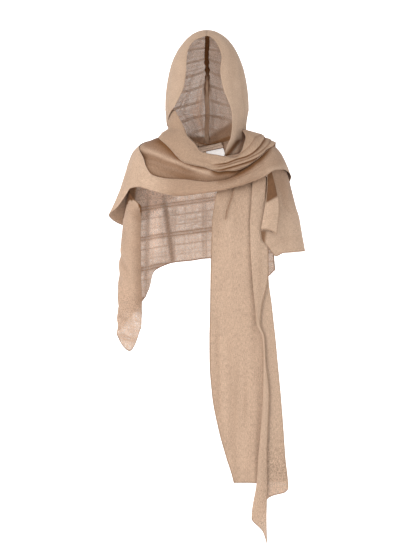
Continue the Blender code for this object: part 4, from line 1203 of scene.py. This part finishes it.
# %% [markdown]
# ## The drape over the right arm
# At the right a shorter end falls over the arm. Its front edge is turned back into a flute, and the shade
# inside it is painted brown.

# %% Sleeve drape
def make_sleeve_cloth():
    spans, down = 150, 64
    top, mid, hem = (read_line(line, spans) for line in (SLEEVE_TOP, SLEEVE_MID, SLEEVE_HEM))
    hem[:, 1] *= SLEEVE_DROP / CHEST_DROP
    grid = between((top, mid, hem), np.linspace(0, 1, down + 1))
    turn, drop, lift = rows_of(grid)
    share = np.linspace(0, 1, down + 1)[None]
    across = np.linspace(0, 1, spans + 1)[:, None]
    slant = crumple(across * 0.25 + 0.7 * drop, across * 0.25 - 0.7 * drop, 0.024, 0.10, 73) * 0.0016
    long_folds = crumple(across * 0.25, drop, 0.022, 0.15, 75) * 0.0014
    free = rise(0.10, 0.35, share)
    doubled = rise(0.80, 0.88, across)
    left_bound = np.where(drop < 0.452, 73.0, 73.0 - (drop - 0.452) * 420)
    shaded_hollow = doubled * rise(left_bound + 1.2, left_bound - 1.2, turn) * rise(0.490, 0.466, drop)
    points = on_form(turn, drop, lift + (slant + long_folds) * free - 0.004 * shaded_hollow)
    # Painted shade in the flute's hollow, over the upper part of the arm, in the hollows of the folds and
    # along a low fold
    tuck = np.maximum(shaded_hollow, 0.50 * (1 - doubled) * rise(0.80, 0.20, share))
    tuck = tuck + painted_valley_shade(slant + long_folds, 0.14) * (1 - doubled)
    low_fold_shade = rise(0.655, 0.70, across) * rise(0.87, 0.84, across) * rise(0.543, 0.553, drop)
    tuck = np.maximum(tuck, 0.9 * low_fold_shade)
    piece = cloth("sleeve_cloth", points, gauze, gauze, straight_uv(points, down // 2), tuck, hems="nesw")
    declare("sleeve_drape")


make_sleeve_cloth()

# %% [markdown]
# ## The long tail
# The longest end hangs from under the chest band almost to the knee. It is folded lengthways: a wide layer
# behind, a bend at the right, a narrower layer in front, and a free edge that rolls in on itself and ends in
# a point.

# %% Long tail
TAIL_DART = ((0.425, 0.074), (0.455, 0.066), (0.495, 0.053), (0.525, 0.047))


def make_tail_cloth():
    spans, down = 132, 190
    rows = np.linspace(0, 1, down + 1)
    stack = []
    for name, part, share, lift_top, lift_hem, hem in TAIL_ACROSS:
        top = TAIL_TOP_LEFT if name in ("left_edge", "pleat_in") else TAIL_TOP_RIGHT
        drop = top + (TAIL_EVEN - top) * rows
        drop = drop + (hem - TAIL_EVEN) * np.clip((rows - TAIL_POINT) / (1 - TAIL_POINT), 0, 1) ** 1.3
        left, bend, fold, edge = (column(TAIL_LEVELS, k, drop) for k in (2, 3, 4, 5))
        start, end = {"behind": (left, bend), "front": (bend, fold), "edge": (fold, edge)}[part]
        lift = lift_top + (lift_hem - lift_top) * np.clip((drop - TAIL_HANG) / (1 - TAIL_HANG), 0, 1)
        lift = lift + TAIL_TUCK * np.clip(1 - rows * TAIL_TUCK_FALL, 0, 1)
        stack.append(np.stack([start + (end - start) * share, drop, lift], -1))
    stack = np.stack(stack)
    at = np.linspace(0, len(stack) - 1, spans + 1)
    grid = np.empty((spans + 1, down + 1, 3))
    for j in range(down + 1):
        for k in range(3):
            grid[:, j, k] = smooth(np.arange(len(stack)), stack[:, j, k], at)
    place, drop, lift = grid[..., 0] * SHOULDER_HALF, grid[..., 1] * TAIL_DROP, grid[..., 2] * LAYER
    turn = form_turn(place, drop)
    behind = rise(5.2, 4.4, at)[:, None]
    hang = rise(0.44, 0.56, drop)
    long_folds = crumple(place, drop, 0.026, 0.34, 81) * 0.0038
    small = crumple(place, drop, 0.035, 0.05, 83) * 0.0007
    dart, shade, _ = pleat(drop, place, TAIL_DART, 0.0045, 0.008)
    lift = lift + (long_folds * hang * behind + small * rise(0.42, 0.46, drop) - dart * behind)
    points = on_form(turn, drop, lift)
    # Painted shade along the dart, in the hollows of the folds, toward the top and in the shadow under the
    # band's edge
    tuck = 0.95 * shade * behind + painted_valley_shade(long_folds, 0.20) * rise(0.42, 0.50, drop)
    sheer = 0.46 * rise(0.120, 0.180, place) * rise(1.05, 1.21, drop) + 0.4 * rise(1.28, 1.36, drop)
    under_band = under_edge(drop - edge_drop(DRAPE_LOW, turn), 0.026)
    tuck = np.maximum(tuck + 0.12 * rise(0.58, 0.42, drop), 0.8 * under_band)
    piece = cloth("long_tail_cloth", points, tail_cloth, tail_cloth, straight_uv(points, 40), tuck, sheer,
                  hems="nesw")
    declare("long_tail")


make_tail_cloth()

# %% [markdown]
# ## Floor, light and camera
# A white sheet curves up behind the scarf, as in a small studio. A large soft lamp stands in front at the
# left, a weaker one at the right, and the white room fills the shadows.

# %% Studio floor
FLOOR = -1.46            # level of the floor
WALL_FOOT = 1.6          # where it begins to bend up behind the scarf
WALL_BEND = 1.4          # radius of that bend


def make_floor():
    deselect_all()
    bpy.ops.mesh.primitive_plane_add(size=1, location=(0, 0, 0))
    sheet = bpy.context.active_object
    sheet.name = "studio_floor"
    profile = [(-7.0, FLOOR), (WALL_FOOT, FLOOR)]
    for k in range(1, 13):
        a = math.pi / 2 * k / 12
        profile.append((WALL_FOOT + WALL_BEND * math.sin(a), FLOOR + WALL_BEND * (1 - math.cos(a))))
    profile.append((WALL_FOOT + WALL_BEND, 5.0))
    vertices = [(x, y, z) for x in (-8.0, 8.0) for y, z in profile]
    count = len(profile)
    faces = [(k, count + k, count + k + 1, k + 1) for k in range(count - 1)]
    sheet.data.clear_geometry()
    sheet.data.from_pydata(vertices, [], faces)
    sheet.data.shade_smooth()
    white, tree, shader = surface("studio_white", {
        "Base Color": (0.96, 0.96, 0.96, 1), "Roughness": 1.0, "Specular IOR Level": 0.0,
        "Emission Color": (1, 1, 1, 1), "Emission Strength": 0.60})
    # Clear from behind, so that the scarf can be seen from there too
    from_behind = tree.nodes.new("ShaderNodeNewGeometry").outputs["Backfacing"]
    blend(tree, from_behind, shader, tree.nodes.new("ShaderNodeBsdfTransparent"))
    sheet.data.materials.append(white)


make_floor()
print("floor at", FLOOR)

# %% Light
def soft_light(name, place, target, size, power, colour):
    deselect_all()
    bpy.ops.object.light_add(type="AREA", location=place)
    lamp = bpy.context.active_object
    lamp.name = name
    lamp.data.shape = "RECTANGLE"
    lamp.data.size, lamp.data.size_y = size
    lamp.data.energy = power
    lamp.data.color = colour
    away = np.array(target) - np.array(place)
    lamp.rotation_euler = (math.acos(-away[2] / np.linalg.norm(away)), 0, math.atan2(-away[0], away[1]))


soft_light("key_light", (-2.0, -3.0, 1.6), (0, 0, -0.5), (1.4, 1.8), 96, (1.0, 0.985, 0.97))
soft_light("fill_light", (3.0, -2.4, 0.2), (0, 0, -0.6), (2.0, 2.4), 12, (1.0, 0.99, 0.98))

room = bpy.data.worlds.new("white_room")
bpy.context.scene.world = room
room.use_nodes = True
room.node_tree.nodes["Background"].inputs["Color"].default_value = (1, 1, 1, 1)
room.node_tree.nodes["Background"].inputs["Strength"].default_value = 0.62

# %% Camera
CAMERA_BACK = 3.8        # camera in front of the origin
CAMERA_LEVEL = -0.675
PIXEL = 0.00275          # width of one pixel at the origin
PICTURE_HIGH = 555       # height of the picture, in pixels
SENSOR = 36              # height of the camera's sensor, in mm

deselect_all()
bpy.ops.object.camera_add(location=(PIXEL, -CAMERA_BACK, CAMERA_LEVEL), rotation=(math.pi / 2, 0, 0))
camera = bpy.context.active_object
camera.data.sensor_fit = "VERTICAL"
camera.data.sensor_height = SENSOR
camera.data.lens = SENSOR * CAMERA_BACK / (PICTURE_HIGH * PIXEL)
bpy.context.scene.camera = camera
bpy.context.scene.view_settings.view_transform = "Standard"
bpy.context.scene.cycles.transparent_max_bounces = 24
print("lens", round(camera.data.lens, 2))
